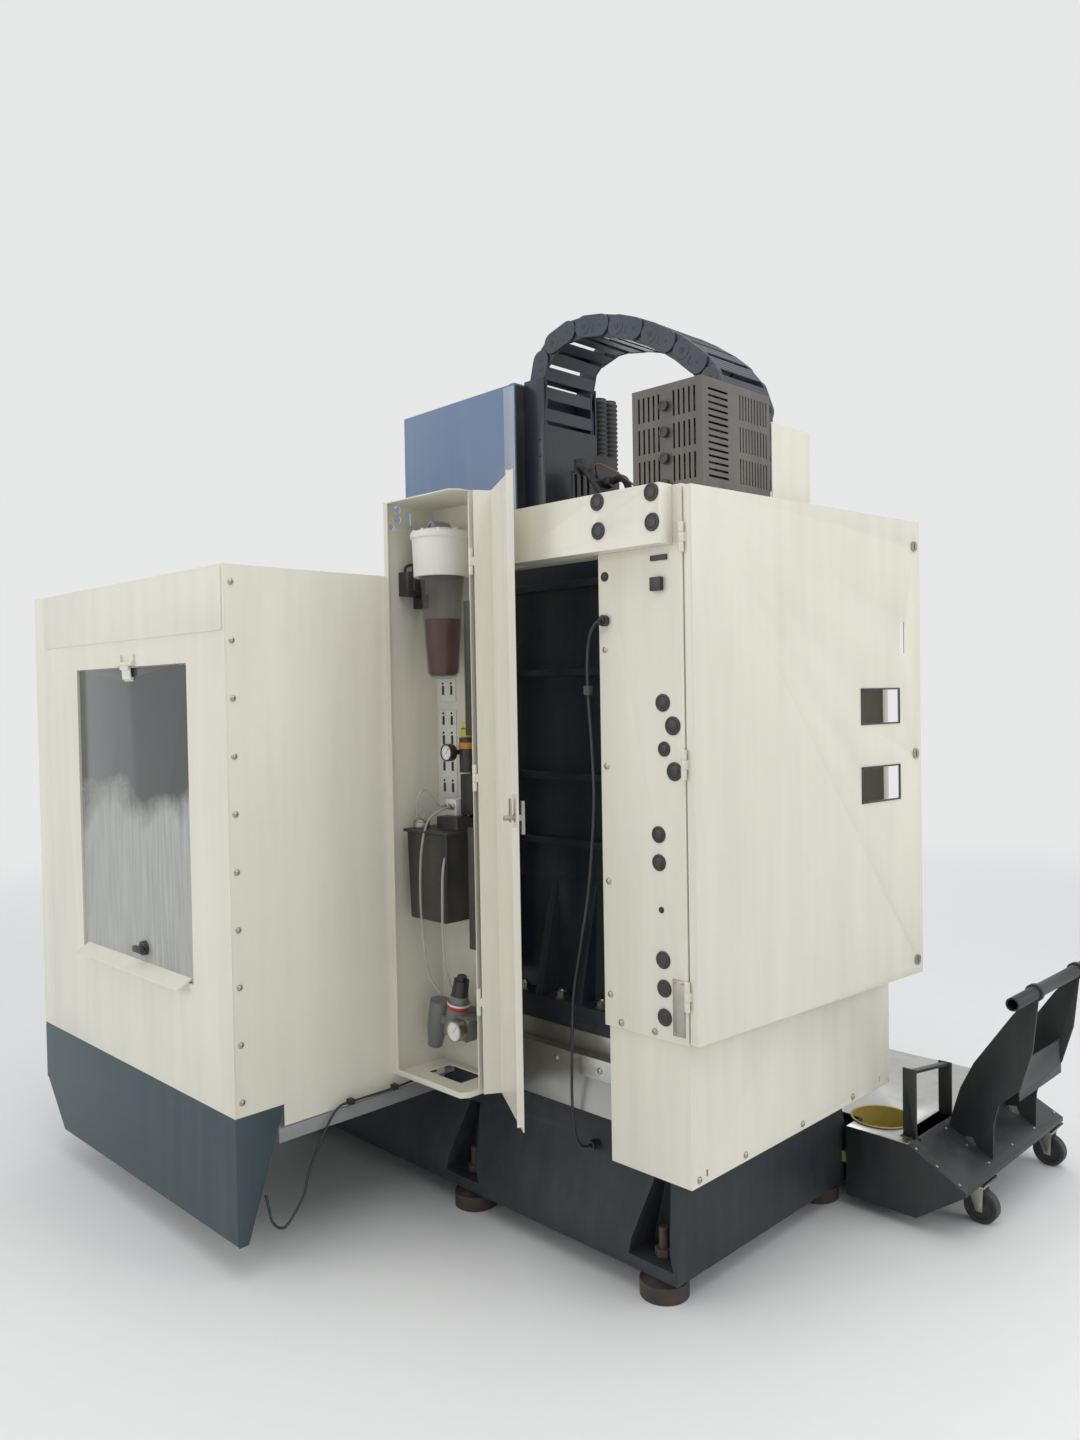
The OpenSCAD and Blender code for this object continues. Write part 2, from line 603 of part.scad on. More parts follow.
module oil_bowl_cap() place() color([0.9, 0.9, 0.88]) {
    translate([bowl[0], bowl[1], 0]) difference() {
        rotate_extrude() polygon([[0, 1790 + seat], [cap_r - 19.4, 1790 + seat], [cap_r - 19.4, 1766],
            [cap_r - 9, 1766], [cap_r - 4, 1866], [cap_r, 1872], [cap_r, 1886], [cap_r - 18, 1892], [0, 1892]]);
        for (a = [0:30:330]) rotate([0, 0, a]) translate([cap_r, 0, 1869]) cylinder(r = 3, h = 26);
    }
    slab([svc_x0 + sheet_t, svc_x0 + 40], [bowl[1] - 35, bowl[1] + 35], [1800, 1850]);
    bar_x(30, [bowl[0] - 50, bowl[0] + 14], bowl[1] - 30, 1906);
}

// Lubrication tank: a tapered black box hung by its flanged lid
tank_box = [[svc_x0 + sheet_t + seat, svc_x1 - 22], [30, 215], [838, 1082]];

module lube_tank() place() color(black) {
    b = tank_box;
    x_mid = (b[0][0] + b[0][1]) / 2;
    along_x([b[0][0] + 6, b[0][1] - 8]) polygon([[b[1][0] + 20, b[2][0]], [b[1][1] - 16, b[2][0]],
        [b[1][1] - 8, b[2][1] - 8], [b[1][0] + 8, b[2][1] - 8]]);
    slab(b[0], b[1], [b[2][1] - 8, b[2][1]]);
    translate([b[0][1] - 40, b[1][0] + 34, b[2][1]]) cylinder(d = 44, h = 20);
    slab([b[0][0] + 20, b[0][1] - 60], [b[1][0] + 74, b[1][1] - 24], [b[2][1], b[2][1] + 34]);
}

// Air unit: regulator with its cap and gauge, valve rail, seal bars and the manifold
module air_unit() place() color(black) {
    x = svc_x0 + sheet_t + seat;
    slab([x, x + 8], [150, 215], [1096, 1440]);
    slab([x + 8, x + 52], [158, 204], [1120, 1230]);
    slab([x + 8, x + 24], [170, 192], [1230, 1370]);
    bar_z(46, x + 44, 181, [1236, 1330]);
    bar_z(34, x + 44, 181, [1330, 1356]);
    bar_z(24, x + 44, 181, [1356, 1372]);
    bar_y(14, x + 44, [140, 181], 1290);
    bar_x(14, [x + 40, x + 72], 147, 1290);
    bar_x(46, [x + 72, x + 90], 147, 1290);
    slab([svc_jamb - 8, svc_jamb + 3], [svc_d - 24, svc_d - sheet_t], [1340, 1690]);
    slab([svc_jamb - 8, svc_jamb + 3], [svc_d - 24, svc_d - sheet_t], [780, 1100]);
}

// Filter regulator low in the cabinet, tilted as it hangs, with its metal bowl and gauge
frl = [svc_x0 + 78, 150, 560];
frl_tilt = 12;

module frl_turn() translate(frl) rotate([-frl_tilt, 0, 0]) children();

module filter_regulator() place() color([0.3, 0.3, 0.32]) {
    difference() {
        frl_turn() {
            translate([0, 0, -40]) cylinder(d = 62, h = 90);
            translate([0, 0, 50]) cylinder(d = 50, h = 20);
            translate([-20, 18, -36]) cube([40, 50, 60]);
        }
        frl_turn() translate([0, 0, 44]) cylinder(d = 20.2, h = 30);
    }
    frl_turn() {
        translate([26, 46, -6]) rotate([0, 90, 0]) cylinder(d = 56, h = 20);
        translate([-2, 40, -20]) rotate([0, 90, 0]) cylinder(d = 16, h = 30);
        translate([0, -74, -56]) cylinder(d = 58, h = 80);
        translate([0, -74, -110]) cylinder(d1 = 40, d2 = 56, h = 54);
        translate([-12, -60, -30]) cube([24, 50, 24]);
    }
    slab([svc_x0 + sheet_t + seat, frl[0] - 10], [frl[1] - 20, frl[1] + 20], [frl[2] - 20, frl[2] + 16]);
}

module regulator_knob() place() color(black) frl_turn() {
    translate([0, 0, 46]) cylinder(d = 20, h = 26);
    translate([0, 0, 70 + seat]) cylinder(d1 = 46, d2 = 42, h = 44);
    translate([0, 0, 114]) cylinder(d1 = 30, d2 = 26, h = 12);
}

// Trunk that carries the wiring from the service cabinet to the electrical cabinet
cab_x0 = -460;
cab_x1 = cab_x0 + cab_w;
cab_y0 = 710;
cab_y1 = cab_y0 + cab_d;
trunk_x = cab_x1 + 45;
trunk_z = [1767, 1898];
trunk_y = [450, 930];
trunk_plugs = [[750, 1879], [752, 1813], [908, 1879], [909, 1814]];

module cable_trunk() place() color(cream) {
    difference() {
        union() {
            slab([400, trunk_x], trunk_y, trunk_z);
            slab([400, 435], [svc_d, trunk_y[0] + 5], trunk_z);
        }
        slab([400 + sheet_t, trunk_x - sheet_t], [trunk_y[0] + sheet_t, trunk_y[1] - sheet_t],
            [trunk_z[0] + sheet_t, trunk_z[1] - sheet_t]);
        slab([400 - cut, cab_x1 + seat], [cab_y0 - seat, trunk_y[1] + cut],
            [trunk_z[0] - cut, trunk_z[1] + cut]);
        for (p = trunk_plugs) bar_x(32, [trunk_x - 5, trunk_x + 1], p[0], p[1]);
    }
}

// Hole plugs, connectors and the steel inlet plate of the cabinet's side
side_plugs = [[896, 1420, 20], [923, 1369, 21], [898, 1317, 17], [926, 1268, 21], [879, 1125, 19],
    [879, 1062, 19], [887, 844, 20], [889, 780, 20], [889, 715, 20], [730, 1714, 11], [884, 956, 7]];

module side_fittings() place() color(black) {
    for (p = trunk_plugs) {
        bar_x(40, [trunk_x, trunk_x + 3], p[0], p[1]);
        bar_x(31.6, [trunk_x - 4, trunk_x], p[0], p[1]);
    }
    for (p = side_plugs) bar_x(p[2] * 2, [cab_x1, cab_x1 + 3], p[0], p[1]);
    slab([cab_x1, cab_x1 + 4], [868, 914], [1736, 1748]);
    slab([cab_x1, cab_x1 + 12], [872, 902], [1669, 1699]);
    slab([cab_x1, cab_x1 + 3], [914, 946], [680, 806]);
}

// Electrical cabinet: a sheet box open to the rear, with its breakers and the cover over the chain's end
switch_x = -374;
switch_z = 1579;

module control_cabinet() place() color(cream) {
    t = sheet_t;
    difference() {
        slab([cab_x0, cab_x1], [cab_y0, cab_y1], [cab_z, cab_top]);
        slab([cab_x0 + t, cab_x1 - t], [cab_y0 + t, cab_y1 - t], [cab_z + t, cab_top - t]);
        slab([cab_x0 + 28, cab_x1 - 28], [cab_y1 - t - cut, cab_y1 + cut], [cab_z + 28, cab_top - 28]);
    }
    slab([cab_x0 + 60, cab_x1 - 60], [cab_y0 + t, cab_y0 + 8], [cab_z + 60, cab_top - 60]);
    for (z = [760, 980, 1200, 1400, 1700]) for (i = [0:4])
        slab([cab_x0 + 90 + i * 150, cab_x0 + 215 + i * 150], [cab_y0 + 8, cab_y0 + 70 + (i % 2) * 30],
            [z, z + 130]);
    slab([switch_x - 40, switch_x + 40], [cab_y0 + 8, cab_y0 + 150], [1540, 1640]);
    for (s = [-1, 1]) slab([switch_x + s * 11.5 - 3, switch_x + s * 11.5 + 3],
        [cab_y0 + 150, switch_y + 12], [switch_z - 12, switch_z + 12]);
    bar_x(6, [switch_x - 12, switch_x + 12], switch_y, switch_z);
    slab([-65, chain_w / 2 - 1], [950, 953], [cab_top, 2090]);
    slab([-65, -62], [850, 950], [cab_top, 2090]);
    slab([-62, chain_w / 2 - 1], [850, 950], [2087, 2090]);
    for (h = cab_hinges) {
        slab([cab_x1, cab_hinge[0]], [cab_y1 - 7, cab_y1 - 4.5], [h - 33, h + 33]);
        for (s = [-1, 1]) {
            slab([cab_x1, cab_hinge[0]], [cab_y1 - 5, cab_y1 - 2], [h + s * 22 - 11, h + s * 22 + 11]);
            bar_z(12, cab_hinge[0], cab_hinge[1], [h + s * 22 - 11, h + s * 22 + 11]);
        }
        bar_z(6, cab_hinge[0], cab_hinge[1], [h - 30, h + 30]);
    }
}

cab_hinge = [cab_x1 + 6, cab_y1 + 2];
cab_hinges = [cab_z + 111, cab_z + 621, cab_z + 1117];
lock_x = -435;
lock_zs = [1826, 1267, 705];

module door_swing() translate([cab_hinge[0], cab_hinge[1], 0]) rotate([0, 0, -cab_door_open])
    translate([-cab_hinge[0], -cab_hinge[1], 0]) children();

module control_door() place() color(cream) door_swing() {
    t = sheet_t;
    y = [cab_y1 + 3, cab_y1 + 3 + cab_door_t];
    x = [cab_x0 - 4, cab_x1 - 2];
    z = [cab_z + 4, cab_top - 4];
    difference() {
        slab(x, y, z);
        slab([x[0] + t, x[1] - t], [y[0] - cut, y[1] - t], [z[0] + t, z[1] - t]);
        for (w = [1355, 1153]) slab([-353, -180], [y[0] - cut, y[1] + cut], [w, w + 86]);
        slab([switch_x - 10, switch_x + 10], [y[0] - cut, y[1] + cut], [switch_z - 42, switch_z + 42]);
        for (h = lock_zs) bar_y(20.2, lock_x, [y[0], y[1] + cut], h);
    }
    slab([x[0] + t, x[0] + 16], [y[0], y[0] + t], z);
    for (h = cab_hinges) {
        slab([x[1] - t, cab_hinge[0] + 3], [cab_hinge[1] + 3, cab_hinge[1] + 6], [h - 10.5, h + 10.5]);
        difference() {
            bar_z(12, cab_hinge[0], cab_hinge[1], [h - 10.5, h + 10.5]);
            bar_z(6 + 2 * shaft_gap, cab_hinge[0], cab_hinge[1], [h - 12, h + 12]);
        }
    }
}

module door_lock(z) door_swing() {
    y = cab_y1 + 3 + cab_door_t;
    bar_y(20, lock_x, [y - 14, y + 1], z);
    bar_y(27, lock_x, [y + seat, y + 4], z);
    slab([lock_x - 1.5, lock_x + 1.5], [y + 4, y + 6], [z - 9, z + 9]);
    slab([lock_x - 7, lock_x + 7], [y - 14, y - 11], [z - 11, z + 14]);
}

module lock_upper() place() color(steel) door_lock(lock_zs[0]);
module lock_middle() place() color(steel) door_lock(lock_zs[1]);
module lock_lower() place() color(steel) door_lock(lock_zs[2]);

// Main switch: a toggle carried by the breaker, which reaches the slot of the door
switch_y = cab_y0 + 166;

module main_switch() place() color(black) difference() {
    union() {
        bar_x(22, [switch_x - 8, switch_x + 8], switch_y, switch_z);
        slab([switch_x - 4, switch_x + 4], [switch_y, cab_y1 + 34], [switch_z - 8, switch_z + 8]);
    }
    bar_x(6 + 2 * shaft_gap, [switch_x - 9, switch_x + 9], switch_y, switch_z);
}

// Transformer box under the electrical cabinet, open below as a sheet box
box_x = 458;
box_y0 = cab_y0 + 5;
box_y1 = 950;
box_z0 = 337;

module transformer_box() place() color(cream) {
    t = sheet_t;
    difference() {
        slab([-box_x, box_x], [box_y0, box_y1], [box_z0, cab_z - seat]);
        slab([-box_x + t, box_x - t], [box_y0 + t, box_y1 - t], [box_z0 - cut, cab_z - seat - t]);
        for (x = [-400, 90, 400]) slab([x - 3, x + 3], [box_y1 - t - cut, box_y1 + cut],
            [box_z0 + (x == 90 ? 300 : 14), box_z0 + (x == 90 ? 318 : 30)]);
    }
    for (x = [-300, -40, 220]) slab([x, x + 190], [box_y0 + t, box_y0 + 140], [box_z0 + 90, box_z0 + 250]);
}

// Vented guard over the braking resistors on the cabinet's top
guard = [[chain_w / 2 + 3, chain_w / 2 + 275], [748, 950], [cab_top, 2150]];

module resistor_cover() place() color([0.42, 0.38, 0.36]) {
    t = 2;
    g = guard;
    difference() {
        slab(g[0], g[1], g[2]);
        slab([g[0][0] + t, g[0][1] - t], [g[1][0] + t, g[1][1] - t], [g[2][0] - cut, g[2][1] - t]);
        for (r = [0:2]) for (i = [0:11]) {
            z = g[2][0] + 28 + r * 74;
            if (i != 5 && i != 6) slab([g[0][1] - t - cut, g[0][1] + cut],
                [g[1][0] + 18 + i * 14.6, g[1][0] + 23 + i * 14.6], [z, z + 58]);
            if (i < 10) slab([g[0][0] + 14 + i * 12, g[0][0] + 18 + i * 12],
                [g[1][1] - t - cut, g[1][1] + cut],
                [z, z + 58]);
        }
        for (i = [0:13]) slab([g[0][1] - 100, g[0][1] - 24], [g[1][1] - t - cut, g[1][1] + cut],
            [g[2][0] + 30 + i * 15, g[2][0] + 35 + i * 15]);
    }
    for (r = [0:3]) bar_x(24, [g[0][1], g[0][1] + 1], (g[1][0] + g[1][1]) / 2, g[2][0] + 22 + r * 60);
}

// Steel gutter strip between the service cabinet and the electrical cabinet
gutter_x = column_foot_w / 2 + 50;

module gutter_rail() place() color(steel) {
    slab([gutter_x - 6, gutter_x], [svc_d + seat, cab_y0 - seat], [510, 560]);
    slab([gutter_x - 9, gutter_x - 6], [svc_d + seat, cab_y0 - seat], [420, 560]);
    slab([column_foot_w / 2 + seat, gutter_x - 9], [column_y + 80, cab_y0 - 20], [547, 550]);
    slab([column_foot_w / 2 + seat, column_foot_w / 2 + 4], [column_y + 80, cab_y0 - 20], [550, 600]);
}

// Energy chain: it climbs off the head, rolls over and comes down onto the electrical cabinet
chain_y = column_y - 82;
chain_turns = [90, 90, 90, 90, 75, 41, 16, -1, -10, -16, -21, -26, -31, -35, -41, -51, -70, -90, -90, -90];
function chain_pin(i) = i == 0 ? [chain_y, chain_z]
    : chain_pin(i - 1) + link_pitch * [cos(chain_turns[i - 1]), sin(chain_turns[i - 1])];
chain_pins = [for (i = [0:len(chain_turns)]) chain_pin(i)];
chain_end = chain_pins[len(chain_turns)];

// Side plate of one link, round at both pins
module link_plate(a, b, x) along_x(x) hull() {
    translate(a) circle(d = link_h, $fn = 24);
    translate(b) circle(d = link_h, $fn = 24);
}

// Outer and inner links take turns, closed by a wide lid outside the bend and a slat inside it
module energy_chain() place() color([0.33, 0.35, 0.40]) {
    half = chain_w / 2;
    for (i = [0:len(chain_turns) - 1]) {
        m = (chain_pins[i] + chain_pins[i + 1]) / 2;
        x = i % 2 == 0 ? half - 7 : half - 14 - seat;
        both_sides() link_plate(chain_pins[i], chain_pins[i + 1], [x, x + 7]);
        translate([0, m[0], m[1]]) rotate([chain_turns[i], 0, 0]) {
            translate([-x - 3, -25, link_h / 2 - 5]) cube([2 * x + 6, 50, 4]);
            translate([-x - 3, -18, -link_h / 2 + 1]) cube([2 * x + 6, 36, 4]);
        }
    }
    both_sides() {
        slab([half - 14, half - 7 - seat], [chain_end[0] - 20, chain_end[0] + 20],
            [cab_top + seat, chain_end[1] - link_h / 4]);
        slab([half - 14, half - 7 - seat], [chain_y - 20, chain_y + 20], [chain_z - 60, chain_z - link_h / 4]);
    }
    slab([-half + 8, half - 8], [chain_end[0] - 24, chain_end[0] + 24], [cab_top + seat, cab_top + 6]);
    slab([-half + 8, half - 8], [head_back + 12 + seat, chain_y + 20], [chain_z - 62, chain_z - 56]);
}

// Head: a slide plate on four trucks, with the spindle carried out in front of it
truck_w = 92;
quill_d = 120;
motor_top = 2040;
motor_z = motor_top - 280;
chain_back = chain_y + link_h / 2 + 1.5;

module rail_truck(x, z) difference() {
    slab([x - truck_w / 2, x + truck_w / 2], [column_y - 36, column_y - 7], [z - 55, z + 55]);
    slab([x - rail_w / 2 - slide_gap, x + rail_w / 2 + slide_gap],
        [column_y - rail_h - slide_gap, column_y], [z - 60, z + 60]);
}

module spindle_head() place() color(navy) {
    difference() {
        union() {
            slab([-230, 230], [head_back + 4, column_y - 36], head_z);
            along_x([-head_w / 2 + sheet_t + seat, head_w / 2 - sheet_t - seat])
                polygon([[head_back + 6, 1360], [head_back + 6, 1760], [-spindle_y - 85, 1760],
                    [-spindle_y - 105, 1700], [-spindle_y - 105, 1500], [-280, 1470], [-100, 1400]]);
            bar_z(220, 0, -spindle_y, [nose_z + 10, 1560]);
            slab([-45, 45], [column_y - 37, screw_y + 44], [1700, 1790]);
        }
        bar_z(quill_d + 2 * shaft_gap, 0, -spindle_y, [nose_z, 1701]);
        bar_z(60, 0, -spindle_y, [1700, 1762]);
        bar_z(screw_d + 5 * slide_gap, 0, screw_y, [1690, 1800]);
        slab([-120, 120], [head_back + 40, column_y - 35], [head_z[0] - cut, 1660]);
    }
    both_sides() for (z = [head_z[0] + 70, head_z[1] - 70]) rail_truck(rail_x, z);
    slab([-chain_w / 2 - 6, chain_w / 2 + 6], [head_back + 4, head_back + 12], [head_z[1], 2228]);
    slab([-chain_w / 2 - 6, chain_w / 2 + 6], [chain_back, chain_back + 3], [head_z[1], 2228]);
    both_sides() {
        slab([chain_w / 2 + 2 * seat, chain_w / 2 + 6], [head_back + 4, chain_back + 3],
            [head_z[1], head_top + 4]);
        for (z = [2140, 2188]) dome_x(chain_w / 2 + 6, chain_y + 16, z, 5);
    }
}

// Sheet cover over the spindle drive, with the bellows duct at its rear corner
duct_x = [-head_w / 2 - 78, -head_w / 2 - 31];
cover_path = [[head_back, 1763], [head_back, head_top - 4], [-413, head_top - 10], [-413, 2095],
    [-523, 2045], [-523, 1560], [95, 1560], [95, 1763]];

module head_cover() place() color(slate) {
    difference() {
        along_x([-head_w / 2, head_w / 2]) polygon(cover_path);
        along_x([-head_w / 2 + sheet_t, head_w / 2 - sheet_t]) polygon([[head_back - sheet_t, 1550],
            [head_back - sheet_t, head_top - 8], [-410, head_top - 14], [-410, 2093], [-520, 2043],
            [-520, 1550]]);
        slab([-head_w / 2 + sheet_t, head_w / 2 - sheet_t], [90, 120], [1500, 1763]);
    }
    slab([-head_w / 2 + 6, head_w / 2 - 6], [head_back - 28, head_back - 6], [head_top - 5, head_top]);
    for (x = duct_x) bar_z(50, x, chain_y - 18, [1960, head_top]);
    slab([duct_x[0] - 25, 1 - head_w / 2], [70, chain_y + 8], [1940, 1960 + cut]);
}

module spindle_motor() place() color(black) {
    slab([-105, 105], [-spindle_y - 95, -spindle_y + 95], [motor_z + seat, motor_top - 30]);
    bar_z(170, 0, -spindle_y, [motor_top - 30, motor_top]);
    bar_z(44, 0, -spindle_y, [motor_z - 58.5, motor_z + seat]);
}

// Spindle with its 7 in 24 taper and drawbar bore
taper_d = 44.45;
taper_len = 66;

module spindle() place() color(steel) difference() {
    union() {
        bar_z(quill_d, 0, -spindle_y, [nose_z + 8, 1700]);
        bar_z(nose_d, 0, -spindle_y, [nose_z, nose_z + 9]);
    }
    translate([0, -spindle_y, nose_z - cut]) cylinder(d1 = taper_d + cut * 7 / 24,
        d2 = taper_d - taper_len * 7 / 24, h = taper_len + cut);
    bar_z(17, 0, -spindle_y, [nose_z + taper_len - cut, 1701]);
    for (s = [-1, 1]) slab([s * 40 - 13, s * 40 + 13], [-spindle_y - 8, -spindle_y + 8],
        [nose_z - cut, nose_z + 5]);
}

// Cross slides: the saddle runs front to rear on the bed, the table runs across on the saddle
saddle_z = [bed_z + 36, table_z - 140];
cross_rail = 25;
table_half = table_w / 2;

module saddle() place() color(navy) {
    yc = -spindle_y;
    difference() {
        slab([-600, 600], [yc - 180, yc + 180], saddle_z);
        slab([-560, -310], [yc - 150, yc + 150], [saddle_z[0] - cut, saddle_z[1] - 30]);
        slab([310, 560], [yc - 150, yc + 150], [saddle_z[0] - cut, saddle_z[1] - 30]);
        slab([-190, 190], [yc - 150, yc + 150], [saddle_z[0] - cut, saddle_z[1] - 30]);
    }
    for (s = [-1, 1]) {
        slab([-600, 600], [yc + s * 120 - rail_w / 2, yc + s * 120 + rail_w / 2],
            [saddle_z[1], saddle_z[1] + cross_rail]);
        both_sides() difference() {
            slab([250 - 45, 250 + 45], [yc + s * 120 - 55, yc + s * 120 + 55], [bed_z + 8, saddle_z[0]]);
            slab([250 - rail_w / 2 - slide_gap, 250 + rail_w / 2 + slide_gap], [yc - 200, yc + 200],
                [bed_z, bed_z + rail_h + slide_gap]);
        }
    }
}

module table() place() color(steel) {
    yc = -spindle_y;
    z0 = saddle_z[1] + cross_rail + 7;
    difference() {
        slab([-table_half, table_half], [yc - table_d / 2, yc + table_d / 2], [z0, table_z]);
        for (i = [-1:1]) {
            slab([-table_half - cut, table_half + cut], [yc + i * slot_pitch - slot_w / 2,
                yc + i * slot_pitch + slot_w / 2], [table_z - 32, table_z + cut]);
            slab([-table_half - cut, table_half + cut], [yc + i * slot_pitch - slot_w * 0.85,
                yc + i * slot_pitch + slot_w * 0.85], [table_z - 33, table_z - 20]);
        }
        for (x = [-300, 0, 300]) slab([x - 120, x + 120], [yc - 80, yc + 80], [z0 - cut, z0 + 40]);
    }
    for (s = [-1, 1]) for (x = [-180, 180]) difference() {
        slab([x - 55, x + 55], [yc + s * 120 - 42, yc + s * 120 + 42], [saddle_z[1] + 7, z0]);
        slab([x - 60, x + 60], [yc + s * 120 - rail_w / 2 - slide_gap, yc + s * 120 + rail_w / 2 + slide_gap],
            [saddle_z[1], saddle_z[1] + cross_rail + slide_gap]);
    }
}

// Tool changer: a beam on the left rear skin, a carriage on its rail and the pocket disc
beam_x = [-950, -230];
beam_y = [-44, -sheet_t];
beam_z = [1600, 1700];
disc_z = [nose_z - 38, nose_z - 8];
carriage_w = 200;

module changer_beam() place() color(gray) {
    zm = (beam_z[0] + beam_z[1]) / 2;
    slab(beam_x, beam_y, beam_z);
    slab(beam_x, [beam_y[0] - 12, beam_y[0]], [zm - 10, zm + 10]);
    slab(beam_x, [beam_y[0] - 24, beam_y[0] - 12], [zm - 20, zm + 20]);
}

module changer_carriage() place() color(gray) {
    zm = (beam_z[0] + beam_z[1]) / 2;
    g = slide_gap;
    difference() {
        union() {
            slab([-changer_x - carriage_w / 2, -changer_x + carriage_w / 2], [beam_y[0] - 52, beam_y[0] - 1],
                [beam_z[0] + 4, beam_z[1] - 4]);
            slab([-changer_x - 45, -changer_x + 45], [-spindle_y, beam_y[0] - 50], [zm - 30, zm + 30]);
            bar_z(140, -changer_x, -spindle_y, [zm - 40, zm + 40]);
            bar_z(110, -changer_x, -spindle_y, [zm + 40, zm + 170]);
        }
        slab([beam_x[0] - 400, beam_x[1] + 400], [beam_y[0] - 24 - g, beam_y[0] - 12 + g],
            [zm - 20 - g, zm + 20 + g]);
        slab([beam_x[0] - 400, beam_x[1] + 400], [beam_y[0] - 13, beam_y[0]], [zm - 10 - g, zm + 10 + g]);
        bar_z(60 + 2 * shaft_gap, -changer_x, -spindle_y, [zm - 50, zm + 38]);
    }
}

module tool_carousel() place() color(gray) {
    translate([-changer_x, -spindle_y, 0]) {
        difference() {
            translate([0, 0, disc_z[0]]) cylinder(r = pocket_r + 12, h = 14, $fn = 80);
            for (i = [0:pockets - 1]) rotate([0, 0, i * 360 / pockets]) {
                translate([pocket_r, 0, disc_z[0] - cut]) cylinder(d = 46, h = 40, $fn = 24);
            }
        }
        for (i = [0:pockets - 1]) rotate([0, 0, (i + 0.5) * 360 / pockets])
            translate([pocket_r - 50, -9, disc_z[0] + 14 - cut]) cube([60, 18, 14]);
        translate([0, 0, disc_z[0]]) cylinder(r1 = 120, r2 = 60, h = 120);
        translate([0, 0, disc_z[0] + 118]) cylinder(d = 90, h = beam_z[0] + 9 - disc_z[0] - 118);
        translate([0, 0, disc_z[0] + 118]) cylinder(d = 60, h = beam_z[0] + 84 - disc_z[0] - 118);
    }
}

// Pendant arm on the right corner bracket, the tilting pendant box and its controls
arm_x = hx - 110;
arm_y = -enc_d - 30;
arm_z = 1370;
journal = [arm_x - 340, arm_x - 240];
pendant_x = [arm_x - 80 - pendant_w, arm_x - 80];
pendant_z = [arm_z - 290, arm_z - 290 + pendant_h];
stop_at = [pendant_x[0] + 60, pendant_z[0] + 62];
jog_at = [pendant_x[1] - 70, pendant_z[0] + 70];

module pendant_arm() place() color(black) {
    difference() {
        union() {
            bar_z(44, arm_x, arm_y, [arm_z - 24.5, arm_z + 24.5]);
            bar_x(38, [journal[1], arm_x - 10], arm_y, arm_z);
        }
        bar_z(16 + 2 * shaft_gap, arm_x, arm_y, [arm_z - 30, arm_z + 30]);
    }
    bar_x(30, journal, arm_y, arm_z);
    bar_x(40, [journal[0] - 12, journal[0]], arm_y, arm_z);
}

module pendant() place() color([0.75, 0.75, 0.72]) {
    difference() {
        union() {
            slab(pendant_x, [pendant_y1, pendant_y0], pendant_z);
            bar_x(48, [journal[0] + 2, journal[1] - 2], arm_y, arm_z);
            slab([journal[0] + 2, journal[1] - 2], [pendant_y0, arm_y - 15], [arm_z - 18, arm_z + 18]);
        }
        bar_x(30 + 2 * shaft_gap, [journal[0], journal[1]], arm_y, arm_z);
        difference() {
            slab([pendant_x[0] + 4, pendant_x[1] - 4], [pendant_y1 + 10, pendant_y0 - 4],
                [pendant_z[0] + 4, pendant_z[1] - 4]);
            for (p = [stop_at, jog_at]) bar_y(40, p[0], [pendant_y1, pendant_y1 + 36], p[1]);
        }
        slab([pendant_x[0] + 80, pendant_x[1] - 80], [pendant_y1 - cut, pendant_y1 + 6],
            [pendant_z[1] - 250, pendant_z[1] - 45]);
        bar_y(22 + 2 * shaft_gap, stop_at[0], [pendant_y1 - cut, pendant_y1 + 32], stop_at[1]);
        bar_y(16 + 2 * shaft_gap, jog_at[0], [pendant_y1 - cut, pendant_y1 + 24], jog_at[1]);
    }
    slab([pendant_x[0] + 30, pendant_x[1] - 30], [pendant_y1 - 2, pendant_y1],
        [pendant_z[0] + 130, pendant_z[1] - 275]);
}

module emergency_stop() place() color([0.75, 0.08, 0.06]) {
    bar_y(40, stop_at[0], [front_most, pendant_y1 - 10], stop_at[1]);
    bar_y(22, stop_at[0], [pendant_y1 - 10, pendant_y1 + 20], stop_at[1]);
}

module jog_wheel() place() color(black) {
    bar_y(62, jog_at[0], [front_most + 2, pendant_y1 - 3], jog_at[1]);
    bar_y(12, jog_at[0] + 20, [front_most, front_most + 2], jog_at[1]);
    bar_y(16, jog_at[0], [pendant_y1 - 3, pendant_y1 + 20], jog_at[1]);
}

// Coolant tank: a sheet basin with a tapered tail, a push handle, casters and a gate for the hose
tank_neck = -foot_w / 2 - 30;
tank_x1 = tank_neck + 85;
tank_x0 = tank_x1 - tank_w;
tank_step = base_rear + 15;
tank_y = [30, tank_step + 183];
tank_z0 = 33;
tail_y = 1215;
strainer = [tank_x1 - 125, 920];
caster_y = 1165;
caster_xs = [tank_x0 + 30, tank_x1 - 165];
trail = 22;
handle_x = [tank_x0 + 155, tank_x1 - 225];
gate_x = [tank_x1 - 275, tank_x1 - 57];
handle_z = 632;

function tank_plan(d) = [[tank_x0 + d, tank_y[0] + d], [tank_neck - d, tank_y[0] + d],
    [tank_neck - d, tank_step + d], [tank_x1 - d, tank_step + d], [tank_x1 - d, tank_y[1] - d],
    [tank_x0 + d, tank_y[1] - d]];

